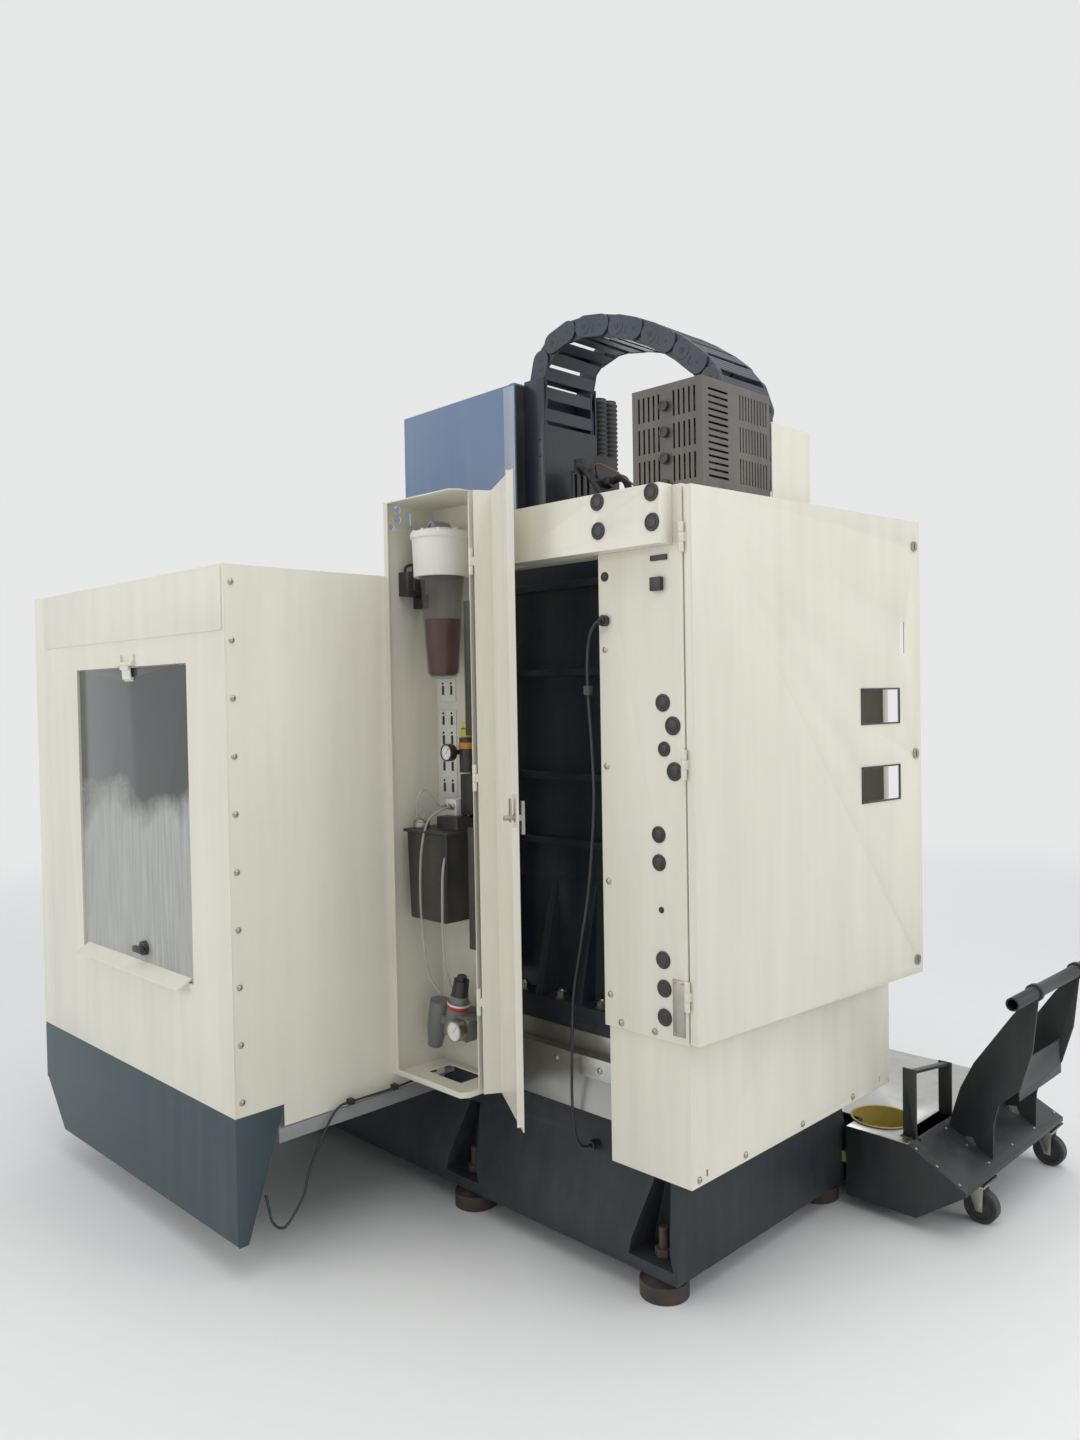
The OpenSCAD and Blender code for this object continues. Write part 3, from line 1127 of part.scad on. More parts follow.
module coolant_tank() place() color([0.12, 0.13, 0.14]) {
    t = sheet_t;
    difference() {
        translate([0, 0, tank_z0]) linear_extrude(tank_top - tank_z0) polygon(tank_plan(0));
        translate([0, 0, tank_z0 + t]) linear_extrude(tank_top) polygon(tank_plan(t));
    }
    difference() {
        along_x([tank_x0, tank_x1]) polygon([[tank_y[1], tank_top], [tail_y, 142], [tail_y, 130],
            [tank_y[1] + 22, tank_z0], [tank_y[1], tank_z0]]);
        along_x([tank_x0 + t, tank_x1 - t]) polygon([[tank_y[1] + t, tank_top - 6], [tail_y - t, 136],
            [tail_y - t, 121], [tank_y[1] + t, 121]]);
        slab([tank_x0 - cut, tank_x1 - t], [tank_y[1] + t, tail_y + cut], [tank_z0 - cut, 116]);
    }
    both_sides_of_handle() along_x([-t, t]) polygon([[1072, 219], [1087, 275], [1104, 330], [1142, 407],
        [1248, 560], [1300, handle_z - 4], [1318, handle_z - 4], [1300, 470], [1267, 360], [1210, 306],
        [1196, 250], [1194, 152], [1150, 176], [1138, 200], [1112, 196]]);
    slab([handle_x[0], handle_x[1]], [1262, 1265], [330, 430]);
    difference() {
        bar_x(handle_d, [handle_x[0] - 145, handle_x[1] + 150], handle_y, handle_z);
        bar_x(handle_d - 8, [handle_x[0] - 146, handle_x[0] - 100], handle_y, handle_z);
        bar_x(handle_d - 8, [handle_x[1] + 100, handle_x[1] + 151], handle_y, handle_z);
    }
    for (x = handle_x) bar_x(handle_d + 12, [x - 8, x + 8], handle_y, handle_z);
    for (x = [[gate_x[0], 150], [gate_x[1], 185]]) {
        slab([x[0] - t, x[0] + t], [1018, 1056], [tank_top + 3, tank_top + x[1]]);
        slab([x[0] - t, x[0] + t], [1018, 1070], [tank_top - 2, tank_top + 3]);
    }
    along_y([1030, 1048]) polygon([[gate_x[0], tank_top + 140], [gate_x[1], tank_top + 172],
        [gate_x[1], tank_top + 180], [gate_x[0], tank_top + 148]]);
    for (x = caster_xs) {
        slab([x - 40, x + 40], [tank_y[1] + t, tail_y - t], [116, 121]);
        bar_z(12, x, caster_y, [104, 117]);
    }
    for (x = [tank_x0 + 100, tank_neck - 110]) {
        bar_x(66, [x - 13, x + 13], 140, 33);
        difference() {
            slab([x - 30, x + 30], [90, 190], [tank_z0, 76]);
            slab([x - 27, x + 27], [93, 187], [tank_z0 - cut, 73]);
        }
        bar_x(12, [x - 28, x + 28], 140, 40);
    }
}

module both_sides_of_handle() for (x = handle_x) translate([x, 0, 0]) children();

module tank_lid() place() color(steel) {
    difference() {
        union() {
            translate([0, 0, tank_top]) linear_extrude(2) polygon(tank_plan(1));
            slab([tank_x0 + 60, tank_neck - 60], [260, 480], [tank_top + 1, tank_top + 26]);
        }
        bar_z(strainer_d, strainer[0], strainer[1], [tank_top - cut, tank_top + 10]);
        bar_z(80, spout_x, 60, [tank_top - cut, tank_top + 10]);
        slab([gate_x[0] - 20, gate_x[1] + 22], [1016, 1060], [tank_top - cut, tank_top + 10]);
    }
}

module caster(x) place() color(gray) {
    difference() {
        union() {
            bar_z(44, x, caster_y, [103, 115]);
            slab([x - 22, x + 22], [caster_y - 14, caster_y + trail + 14], [98, 104]);
        }
        bar_z(12 + 2 * shaft_gap, x, caster_y, [90, 116]);
    }
    for (s = [-1, 1]) along_x([x + s * 20 - 2, x + s * 20 + 2]) polygon([[caster_y - 12, 102],
        [caster_y + trail + 12, 102], [caster_y + trail + 9, wheel_d / 2 - 10],
        [caster_y + trail - 9, wheel_d / 2 - 10]]);
    bar_x(10, [x - 24, x + 24], caster_y + trail, wheel_d / 2);
}

module caster_left() caster(caster_xs[0]);
module caster_right() caster(caster_xs[1]);

module wheel(x) place() color([0.2, 0.2, 0.21]) difference() {
    union() {
        bar_x(wheel_d, [x - 14, x + 14], caster_y + trail, wheel_d / 2);
        bar_x(26, [x - 17, x + 17], caster_y + trail, wheel_d / 2);
    }
    bar_x(10 + 2 * shaft_gap, [x - 20, x + 20], caster_y + trail, wheel_d / 2);
    for (s = [-1, 1]) difference() {
        bar_x(wheel_d - 24, [x + s * 14 - 4, x + s * 14 + 4], caster_y + trail, wheel_d / 2);
        bar_x(30, [x - 30, x + 30], caster_y + trail, wheel_d / 2);
    }
}

module wheel_left() wheel(caster_xs[0]);
module wheel_right() wheel(caster_xs[1]);

// Cords swept through their points, and the glands and clips that hold them
function blend(p, i, t) = let(a = p[max(i - 1, 0)], b = p[i], c = p[i + 1], d = p[min(i + 2, len(p) - 1)])
    0.5 * (2 * b + (c - a) * t + (2 * a - 5 * b + 4 * c - d) * t * t + (3 * b - a - 3 * c + d) * t * t * t);
function smooth(p, n) = [for (i = [0:len(p) - 2]) for (k = [0:n - 1]) blend(p, i, k / n), p[len(p) - 1]];

module cord(path, d) {
    n = len(path);
    rings = [for (i = [0:n - 1]) let(along = path[min(i + 1, n - 1)] - path[max(i - 1, 0)],
        t = along / norm(along), s = cross([0, 1, 0], t), u = s / norm(s), v = cross(t, u))
        [for (a = [0:7]) path[i] + d / 2 * (u * cos(a * 45) + v * sin(a * 45))]];
    polyhedron(points = [for (r = rings) each r], faces = concat([[for (a = [0:7]) a]],
        [[for (a = [7:-1:0]) (n - 1) * 8 + a]],
        [for (i = [0:n - 2]) for (a = [0:7]) [i * 8 + a, i * 8 + 8 + a, i * 8 + 8 + (a + 1) % 8]],
        [for (i = [0:n - 2]) for (a = [0:7]) [i * 8 + a, i * 8 + 8 + (a + 1) % 8, i * 8 + (a + 1) % 8]]));
}

gland_z = 300;
flare = (foot_w - bed_w) / 2 / (330 - base_gap - 70);
gland_x = foot_w / 2 - (gland_z - 12 - base_gap - 70) * flare + 0.4;
supply_path = [[cab_x1 + 13, 730, 1612], [489, 729, 1611], [495, 718, 1602], [485, 694, 1576],
    [476, 678, 1525], [475, 677, 1451], [475, 686, 1330], [476, 692, 1200], [474, 680, 1070],
    [471, 662, 956], [468, 630, 820], [464, 603, 704], [460, 592, 560], [458, 588, 445], [440, 580, 360],
    [406, 568, 314], [gland_x + 18.7, 562, gland_z]];
skirt_path_points = [[425, 8, 384], [433, 8.4, 382.6], [456, 12, 373], [560, 12, 366], [700, 12, 367],
    [750, 12, 362], [794, 12, 309], [842, 12, 221], [860, 12, 165], [914, 12, 106], [950, 12, 128],
    [958, 8, 168], [957, -8, 196]];

module supply_cord() place() color(black) cord(smooth(supply_path, 3), 7);
module skirt_cable() place() color(black) cord(smooth(skirt_path_points, 2), 7);

module cable_fittings() place() color(black) {
    difference() {
        union() {
            bar_x(26, [cab_x1, cab_x1 + 12], 730, 1612);
            bar_x(18, [cab_x1 + 12, cab_x1 + 16], 730, 1612);
        }
        bar_x(9, [cab_x1 + 11, cab_x1 + 20], 730, 1612);
    }
    difference() {
        bar_x(24, [gland_x, gland_x + 20], 562, gland_z);
        bar_x(12, [gland_x + 12, gland_x + 21], 562, gland_z);
    }
    for (x = [560, 706]) difference() {
        slab([x - 8, x + 8], [0, 17], [360, 374]);
        bar_x(9.4, [x - 9, x + 9], 12, 366.5);
    }
    difference() {
        slab([414, 430], [0, 14], [374, 396]);
        bar_x(9, [424, 431], 8, 384);
    }
    difference() {
        slab([cab_x1, cab_x1 + 12], [668, 686], [1440, 1462]);
        bar_z(8.6, cab_x1 + 7, 677, [1439, 1463]);
    }
}

base_casting();
leveling_feet();
column_casting();
z_motor();
z_screw();
side_panel_right();
side_panel_left();
rear_panel_right();
rear_panel_left();
front_fascia();
lower_skirt();
chip_pan();
fasteners();
lube_cabinet();
oil_bowl();
oil_bowl_cap();
lube_tank();
air_unit();
filter_regulator();
regulator_knob();
cable_trunk();
side_fittings();
control_cabinet();
transformer_box();
resistor_cover();
gutter_rail();
changer_beam();
skirt_cable();
supply_cord();
cable_fittings();
energy_chain();
spindle_head();
head_cover();
spindle_motor();
spindle();
saddle();
table();
changer_carriage();
tool_carousel();
front_door_left();
front_door_right();
side_window_right();
side_window_left();
lube_door();
lube_door_latch();
control_door();
lock_upper();
lock_middle();
lock_lower();
main_switch();
pendant_arm();
pendant();
emergency_stop();
jog_wheel();
coolant_tank();
tank_lid();
caster_left();
caster_right();
wheel_left();
wheel_right();
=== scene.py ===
import math
import bmesh
import bpy
from mathutils import Matrix, Vector


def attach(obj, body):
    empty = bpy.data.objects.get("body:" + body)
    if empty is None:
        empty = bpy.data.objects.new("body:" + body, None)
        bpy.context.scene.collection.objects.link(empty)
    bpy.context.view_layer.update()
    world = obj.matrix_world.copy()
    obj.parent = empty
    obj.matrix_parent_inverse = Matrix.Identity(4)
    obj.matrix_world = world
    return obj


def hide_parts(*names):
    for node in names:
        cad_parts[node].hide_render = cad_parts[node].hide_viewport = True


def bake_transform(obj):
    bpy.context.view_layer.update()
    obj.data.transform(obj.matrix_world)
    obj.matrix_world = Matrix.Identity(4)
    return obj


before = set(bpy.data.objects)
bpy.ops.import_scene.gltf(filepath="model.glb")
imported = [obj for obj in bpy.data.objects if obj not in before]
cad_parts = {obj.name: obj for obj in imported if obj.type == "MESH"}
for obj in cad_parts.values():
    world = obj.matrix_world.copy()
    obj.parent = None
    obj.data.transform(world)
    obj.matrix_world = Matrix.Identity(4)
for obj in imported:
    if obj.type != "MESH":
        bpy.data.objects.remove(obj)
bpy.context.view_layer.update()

# The camera stands behind the machine's right rear corner at eye height and looks along the diagonal,
# level but for a slight dip and roll. Every Y below counts from the machine's rear skin, which lies BACK
# metres behind the frame's origin.
BACK = 0.045
EYE = (2.358, 2.399 + BACK, 1.44)
DIP = math.radians(1.28)
ROLL = math.radians(-0.98)
camera = bpy.data.objects.new("view_camera", bpy.data.cameras.new("view_camera"))
bpy.context.scene.collection.objects.link(camera)
camera.data.sensor_width = 36.0
camera.data.lens = 27.0
gaze = Vector((-math.cos(DIP) / math.sqrt(2), -math.cos(DIP) / math.sqrt(2), -math.sin(DIP)))
camera.matrix_world = (Matrix.Translation(EYE)
                       @ gaze.to_track_quat('-Z', 'Y').to_matrix().to_4x4()
                       @ Matrix.Rotation(ROLL, 4, 'Z'))
bpy.context.scene.camera = camera


# The supply cord hangs beside the electrical cabinet and ends in a gland on the base; the skirt cable
# runs in two clips along the rear edge and loops under the skirt. Both are 7 mm black rubber cable.
def mm(x, y, z):
    return Vector((x / 1000, y / 1000 + BACK, z / 1000))


def place_points(points):
    return [mm(*point) for point in points]


def smooth_route(points, steps):
    out = []
    for i in range(len(points) - 1):
        a, b = points[max(i - 1, 0)], points[i]
        c, d = points[i + 1], points[min(i + 2, len(points) - 1)]
        for k in range(steps):
            t = k / steps
            out.append(0.5 * (2 * b + (c - a) * t + (2 * a - 5 * b + 4 * c - d) * t * t
                              + (3 * b - a - 3 * c + d) * t ** 3))
    out.append(points[-1])
    return out


def cable(name, route, diameter, material):
    curve = bpy.data.curves.new(name, 'CURVE')
    curve.dimensions = '3D'
    curve.bevel_depth = diameter / 2
    curve.bevel_resolution = 3
    curve.use_fill_caps = True
    spline = curve.splines.new('POLY')
    spline.points.add(len(route) - 1)
    for p, v in zip(spline.points, route):
        p.co = (v.x, v.y, v.z, 1)
    curve.materials.append(material)
    piece = bpy.data.objects.new(name, curve)
    bpy.context.scene.collection.objects.link(piece)
    return piece


def new_material(name):
    material = bpy.data.materials.new(name)
    material.use_nodes = True
    nodes, links = material.node_tree.nodes, material.node_tree.links
    return material, nodes, links, nodes["Principled BSDF"]


def soil_group():
    tree = bpy.data.node_groups.new("soil_and_grain", 'ShaderNodeTree')
    face = tree.interface
    for name, kind, value in (("Color", 'NodeSocketColor', (0.8, 0.8, 0.8, 1)),
                              ("Soil", 'NodeSocketColor', (0.2, 0.18, 0.15, 1)),
                              ("Amount", 'NodeSocketFloat', 0.2), ("Scale", 'NodeSocketFloat', 3.0),
                              ("Roughness", 'NodeSocketFloat', 0.4), ("Grain", 'NodeSocketFloat', 400.0)):
        face.new_socket(name=name, in_out='INPUT', socket_type=kind).default_value = value
    for name, kind in (("Color", 'NodeSocketColor'), ("Roughness", 'NodeSocketFloat'),
                       ("Height", 'NodeSocketFloat')):
        face.new_socket(name=name, in_out='OUTPUT', socket_type=kind)
    nodes, links = tree.nodes, tree.links
    given, result = nodes.new('NodeGroupInput'), nodes.new('NodeGroupOutput')
    place = nodes.new('ShaderNodeTexCoord')
    stretch = nodes.new('ShaderNodeMapping')
    stretch.inputs['Scale'].default_value = (9.0, 9.0, 0.7)
    links.new(place.outputs['Object'], stretch.inputs['Vector'])
    cloud, streak, grain = (nodes.new('ShaderNodeTexNoise') for _ in range(3))
    cloud.inputs['Detail'].default_value = 6.0
    cloud.inputs['Roughness'].default_value = 0.65
    links.new(place.outputs['Object'], cloud.inputs['Vector'])
    links.new(given.outputs['Scale'], cloud.inputs['Scale'])
    streak.inputs['Scale'].default_value = 2.2
    streak.inputs['Detail'].default_value = 4.0
    links.new(stretch.outputs['Vector'], streak.inputs['Vector'])
    grain.inputs['Detail'].default_value = 2.0
    links.new(place.outputs['Object'], grain.inputs['Vector'])
    links.new(given.outputs['Grain'], grain.inputs['Scale'])
    both = nodes.new('ShaderNodeMath')
    both.operation = 'MULTIPLY'
    links.new(cloud.outputs['Fac'], both.inputs[0])
    links.new(streak.outputs['Fac'], both.inputs[1])
    spread = nodes.new('ShaderNodeMapRange')
    spread.inputs['From Min'].default_value = 0.16
    spread.inputs['From Max'].default_value = 0.46
    links.new(both.outputs['Value'], spread.inputs['Value'])
    part = nodes.new('ShaderNodeMath')
    part.operation = 'MULTIPLY'
    links.new(spread.outputs['Result'], part.inputs[0])
    links.new(given.outputs['Amount'], part.inputs[1])
    mix = nodes.new('ShaderNodeMix')
    mix.data_type = 'RGBA'
    links.new(part.outputs['Value'], mix.inputs[0])
    links.new(given.outputs['Color'], mix.inputs[6])
    links.new(given.outputs['Soil'], mix.inputs[7])
    links.new(mix.outputs[2], result.inputs['Color'])
    rough = nodes.new('ShaderNodeMath')
    rough.operation = 'MULTIPLY_ADD'
    rough.inputs[1].default_value = 0.35
    links.new(part.outputs['Value'], rough.inputs[0])
    links.new(given.outputs['Roughness'], rough.inputs[2])
    links.new(rough.outputs['Value'], result.inputs['Roughness'])
    links.new(grain.outputs['Fac'], result.inputs['Height'])
    return tree


def soiled(name, color, rough, soil=(0.16, 0.14, 0.11), amount=0.12, scale=2.5, grain=450.0,
           bump=0.04, metallic=0.0, coat=0.0, step=0.0006):
    material, nodes, links, shader = new_material(name)
    group = nodes.new('ShaderNodeGroup')
    group.node_tree = bpy.data.node_groups.get("soil_and_grain") or soil_group()
    group.inputs['Color'].default_value = (*color, 1)
    group.inputs['Soil'].default_value = (*soil, 1)
    group.inputs['Amount'].default_value = amount
    group.inputs['Scale'].default_value = scale
    group.inputs['Roughness'].default_value = rough
    group.inputs['Grain'].default_value = grain
    bumps = nodes.new('ShaderNodeBump')
    bumps.inputs['Strength'].default_value = bump
    bumps.inputs['Distance'].default_value = step
    links.new(group.outputs['Color'], shader.inputs['Base Color'])
    links.new(group.outputs['Roughness'], shader.inputs['Roughness'])
    links.new(group.outputs['Height'], bumps.inputs['Height'])
    links.new(bumps.outputs['Normal'], shader.inputs['Normal'])
    shader.inputs['Metallic'].default_value = metallic
    shader.inputs['Coat Weight'].default_value = coat
    return material


sheath = soiled("rubber_sheath", (0.022, 0.022, 0.024), 0.5, soil=(0.12, 0.11, 0.10), amount=0.35, scale=30)
CABLE_SIZE = 0.007
supply_route = smooth_route(place_points([
    (481, 730, 1612), (489, 729, 1611), (495, 718, 1602), (485, 694, 1576), (476, 678, 1525),
    (475, 677, 1451), (475, 686, 1330), (476, 692, 1200), (474, 680, 1070), (471, 662, 956),
    (468, 630, 820), (464, 603, 704), (460, 592, 560), (458, 588, 445), (440, 580, 360), (406, 568, 314),
    (363.95, 562, 300)]), 5)
skirt_route = smooth_route(place_points([
    (425, 8, 384), (433, 8.4, 382.6), (456, 12, 373), (560, 12, 366), (700, 12, 367), (750, 12, 362),
    (794, 12, 309), (842, 12, 221), (860, 12, 165), (914, 12, 106), (950, 12, 128), (958, 8, 168),
    (957, -8, 196)]), 5)
for cord_name, node, route in (("supply_cord_line", "supply_cord", supply_route),
                               ("skirt_cable_line", "skirt_cable", skirt_route)):
    line = cable(cord_name, route, CABLE_SIZE, sheath)
    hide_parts(node)
    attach(line, "frame")

# The stage is a plain pale floor that takes the backdrop's tone a few metres out, where it no longer needs
# to show a shadow.
BACKDROP = (0.80, 0.805, 0.81, 1)
FLOOR_REACH = 14
floor = bpy.data.meshes.new("floor")
floor.from_pydata([(x * FLOOR_REACH, y * FLOOR_REACH, 0) for x, y in ((-1, -1), (1, -1), (1, 1), (-1, 1))],
                  [], [(0, 1, 2, 3)])
floor_piece = bpy.data.objects.new("floor", floor)
bpy.context.scene.collection.objects.link(floor_piece)
floor_paint = soiled("floor_paint", (0.88, 0.88, 0.87), 0.60, soil=(0.82, 0.82, 0.80), amount=0.25,
                     scale=0.8, grain=60, bump=0.03)
floor.materials.append(floor_paint)
nodes, links = floor_paint.node_tree.nodes, floor_paint.node_tree.links
place = nodes.new('ShaderNodeTexCoord')
reach = nodes.new('ShaderNodeVectorMath')
reach.operation = 'LENGTH'
fade = nodes.new('ShaderNodeMapRange')
fade.interpolation_type = 'SMOOTHSTEP'
fade.inputs['From Min'].default_value = 2.4
fade.inputs['From Max'].default_value = 8.5
haze = nodes.new('ShaderNodeEmission')
haze.inputs['Color'].default_value = BACKDROP
blend = nodes.new('ShaderNodeMixShader')
links.new(place.outputs['Object'], reach.inputs[0])
links.new(reach.outputs['Value'], fade.inputs['Value'])
links.new(fade.outputs['Result'], blend.inputs['Fac'])
links.new(nodes["Principled BSDF"].outputs['BSDF'], blend.inputs[1])
links.new(haze.outputs['Emission'], blend.inputs[2])
links.new(blend.outputs['Shader'], nodes["Material Output"].inputs['Surface'])

# Backdrop and lamps: the camera sees one pale tone, straight, mirrored or through glass, while a cooler
# tone fills the shadows. The largest lamp hangs above and three smaller ones stand around the machine.
world = bpy.data.worlds.new("surround")
bpy.context.scene.world = world
bpy.context.scene.view_settings.view_transform = 'Standard'
world.use_nodes = True
nodes, links = world.node_tree.nodes, world.node_tree.links
seen, fill = nodes["Background"], nodes.new('ShaderNodeBackground')
seen.inputs['Color'].default_value = BACKDROP
fill.inputs['Color'].default_value = (0.92, 0.96, 1.0, 1)
fill.inputs['Strength'].default_value = 0.58
rays, either = nodes.new('ShaderNodeLightPath'), nodes.new('ShaderNodeMixShader')
mirrored, through = nodes.new('ShaderNodeMath'), nodes.new('ShaderNodeMath')
mirrored.use_clamp = through.use_clamp = True
links.new(rays.outputs['Is Camera Ray'], mirrored.inputs[0])
links.new(rays.outputs['Is Glossy Ray'], mirrored.inputs[1])
links.new(mirrored.outputs['Value'], through.inputs[0])
links.new(rays.outputs['Is Transmission Ray'], through.inputs[1])
links.new(through.outputs['Value'], either.inputs['Fac'])
links.new(fill.outputs['Background'], either.inputs[1])
links.new(seen.outputs['Background'], either.inputs[2])
links.new(either.outputs['Shader'], nodes["World Output"].inputs['Surface'])
for name, spot, aim, size, power in (
        ("top_lamp", (0.5, 1.2, 5.4), (0, 0.1, 1.0), (5.5, 5.5), 116),
        ("right_lamp", (5.2, -1.8, 2.6), (0.3, 0, 1.1), (3.0, 2.6), 54),
        ("rear_lamp", (-1.8, 5.4, 2.8), (0.0, 0.5, 1.0), (3.0, 2.6), 56),
        ("front_lamp", (-5.0, -4.0, 3.4), (0, 0, 1.6), (3.5, 2.5), 50)):
    lamp = bpy.data.objects.new(name, bpy.data.lights.new(name, 'AREA'))
    lamp.data.shape = 'RECTANGLE'
    lamp.data.size, lamp.data.size_y = size
    lamp.data.energy = power
    lamp.location = spot
    lamp.rotation_euler = (Vector(aim) - Vector(spot)).to_track_quat('-Z', 'Y').to_euler()
    bpy.context.scene.collection.objects.link(lamp)


# Base, column, spindle head and saddle are gray iron castings with rounded edges, painted navy black.
# The column is bolted to the base, and the base stands on six feet whose paint has gone rusty.
def link_mesh(name, mesh):
    piece = bpy.data.objects.new(name, mesh)
    bpy.context.scene.collection.objects.link(piece)
    return piece


def plain(piece):
    bpy.context.view_layer.update()
    mesh = bpy.data.meshes.new_from_object(piece.evaluated_get(bpy.context.evaluated_depsgraph_get()))
    piece.modifiers.clear()
    old = piece.data
    piece.data = mesh
    bpy.data.meshes.remove(old)


def shade(mesh, angle=32.0):
    mesh.polygons.foreach_set("use_smooth", [True] * len(mesh.polygons))
    mesh.set_sharp_from_angle(angle=math.radians(angle))


def rounded(piece, radius, steps):
    bevel = piece.modifiers.new("edges", 'BEVEL')
    bevel.width = radius
    bevel.segments = steps
    bevel.limit_method = 'ANGLE'
    bevel.angle_limit = math.radians(40)
    bevel.use_clamp_overlap = True
    plain(piece)


# A finish piece: the solid's own faces, cleaned of their triangles' flat edges, with its corners rounded.
def softened(node, material, radius, steps=2, body="frame"):
    bm = bmesh.new()
    bm.from_mesh(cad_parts[node].data)
    bmesh.ops.remove_doubles(bm, verts=bm.verts, dist=2e-5)
    bmesh.ops.dissolve_limit(bm, angle_limit=math.radians(1.0), verts=bm.verts, edges=bm.edges)
    mesh = bpy.data.meshes.new(node + "_finish")
    bm.to_mesh(mesh)
    bm.free()
    mesh.materials.clear()
    mesh.materials.append(material)
    mesh.polygons.foreach_set("material_index", [0] * len(mesh.polygons))
    piece = link_mesh(node + "_finish", mesh)
    rounded(piece, radius, steps)
    shade(piece.data)
    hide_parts(node)
    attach(piece, body)
    return piece


def dress(material, *nodes):
    for node in nodes:
        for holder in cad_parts[node].material_slots:
            holder.material = material


navy = soiled("navy_casting", (0.012, 0.018, 0.028), 0.38, soil=(0.08, 0.08, 0.078), amount=0.20,
              scale=5, grain=140, bump=0.22, step=0.002, coat=0.15)
navy_low = soiled("navy_base", (0.012, 0.018, 0.024), 0.5, soil=(0.09, 0.09, 0.085), amount=0.32, scale=6,
                  grain=120, bump=0.25, step=0.002)
foot_paint = soiled("foot_paint", (0.035, 0.033, 0.034), 0.6, soil=(0.13, 0.07, 0.05), amount=0.8,
                    scale=14, grain=200, bump=0.3, step=0.001)
softened("base_casting", navy_low, 0.006)
softened("column_casting", navy, 0.005)
softened("leveling_feet", foot_paint, 0.002)
softened("spindle_head", navy, 0.003, body="head")
softened("saddle", navy, 0.003, body="saddle_unit")

# Sheet-steel panels and doors: 3 mm pickled sheet, folded and powder coated a warm cream white with a
# fine orange peel, under a thin uneven film of oil and dust. The skirt is dark green-gray, and the chip
# pan and the tool changer are plain gray.
cream = soiled("cream_coat", (0.78, 0.75, 0.64), 0.36, soil=(0.34, 0.31, 0.24), amount=0.16, scale=1.6,
               grain=700, bump=0.05, coat=0.08)
SHEET_EDGE = 0.0012
for node in ("side_panel_right", "side_panel_left", "rear_panel_right", "rear_panel_left", "front_fascia",
             "lube_cabinet", "cable_trunk", "transformer_box", "control_cabinet"):
    softened(node, cream, SHEET_EDGE)
for node, body in (("control_door", "cabinet_door"), ("lube_door", "service_door"),
                   ("front_door_left", "door_left"), ("front_door_right", "door_right")):
    softened(node, cream, SHEET_EDGE, body=body)
skirt_coat = soiled("skirt_coat", (0.030, 0.055, 0.064), 0.42, soil=(0.14, 0.15, 0.145), amount=0.28,
                    scale=3, grain=600, bump=0.08)
softened("lower_skirt", skirt_coat, SHEET_EDGE)
gray_coat = soiled("gray_coat", (0.30, 0.31, 0.31), 0.45, amount=0.25, scale=4)
softened("chip_pan", gray_coat, 0.001)
softened("changer_beam", gray_coat, 0.002)
softened("changer_carriage", gray_coat, 0.002, body="changer")
softened("tool_carousel", gray_coat, 0.001, body="carousel")

# Dome-head screws of zinc-plated steel fasten the rear skins and the electrical cabinet's sheets, and hex
# nuts clamp the column's foot to the base. One rule sets each kind: a point and a turn for every copy.
def block(shape, x, y, z):
    rows = [(x[0], y[0]), (x[1], y[0]), (x[1], y[1]), (x[0], y[1])]
    corners = [shape.verts.new(mm(a, b, c)) for c in z for a, b in rows]
    for face in ((3, 2, 1, 0), (4, 5, 6, 7), (0, 1, 5, 4), (1, 2, 6, 5), (2, 3, 7, 6), (3, 0, 4, 7)):
        shape.faces.new([corners[k] for k in face])
    return corners


# A turned form: the profile's (radius, height) points, in mm, swept around the axis through the foot.
def turned(shape, foot, axis, profile, steps=32):
    turn = Vector(axis).to_track_quat('Z', 'Y').to_matrix()
    rings = []
    for r, h in profile:
        spots = [(0, 0)] if r <= 0 else [(r * math.cos(2 * math.pi * k / steps),
                                          r * math.sin(2 * math.pi * k / steps)) for k in range(steps)]
        rings.append([shape.verts.new(foot + turn @ Vector((a / 1000, b / 1000, h / 1000)))
                      for a, b in spots])
    for low, high in zip(rings, rings[1:]):
        for k in range(steps):
            j = (k + 1) % steps
            corners = [low[k % len(low)], low[j % len(low)], high[j % len(high)], high[k % len(high)]]
            corners = list(dict.fromkeys(corners))
            if len(corners) > 2:
                shape.faces.new(corners)
    for ring in (rings[0], rings[-1]):
        if len(ring) > 2:
            shape.faces.new(ring)


def hose(shape, route, radius, sides=10):
    route = [Vector(p) for p in route]
    up = Vector((0.31, 0.17, 0.93))
    rings = []
    for k, p in enumerate(route):
        along = (route[min(k + 1, len(route) - 1)] - route[max(k - 1, 0)]).normalized()
        side = along.cross(up).normalized()
        up = side.cross(along).normalized()
        rings.append([shape.verts.new(p + radius / 1000 * (side * math.cos(2 * math.pi * a / sides)
                                                           + up * math.sin(2 * math.pi * a / sides)))
                      for a in range(sides)])
    for low, high in zip(rings, rings[1:]):
        for a in range(sides):
            b = (a + 1) % sides
            shape.faces.new((low[a], low[b], high[b], high[a]))
    shape.faces.new(rings[0])
    shape.faces.new(rings[-1])


# Gives the material of this index to every face drawn since the last call.
def tint(shape, index):
    for face in shape.faces:
        if not face.tag:
            face.tag = True
            face.material_index = index


def made(name, shape, materials, body="frame", edge=0.0, stands_for=(), angle=32):
    bmesh.ops.recalc_face_normals(shape, faces=shape.faces)
    mesh = bpy.data.meshes.new(name)
    shape.to_mesh(mesh)
    shape.free()
    for material in materials:
        mesh.materials.append(material)
    piece = link_mesh(name, mesh)
    if edge:
        rounded(piece, edge, 2)
    shade(piece.data, angle)
    if stands_for:
        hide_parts(*stands_for)
    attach(piece, body)
    return piece


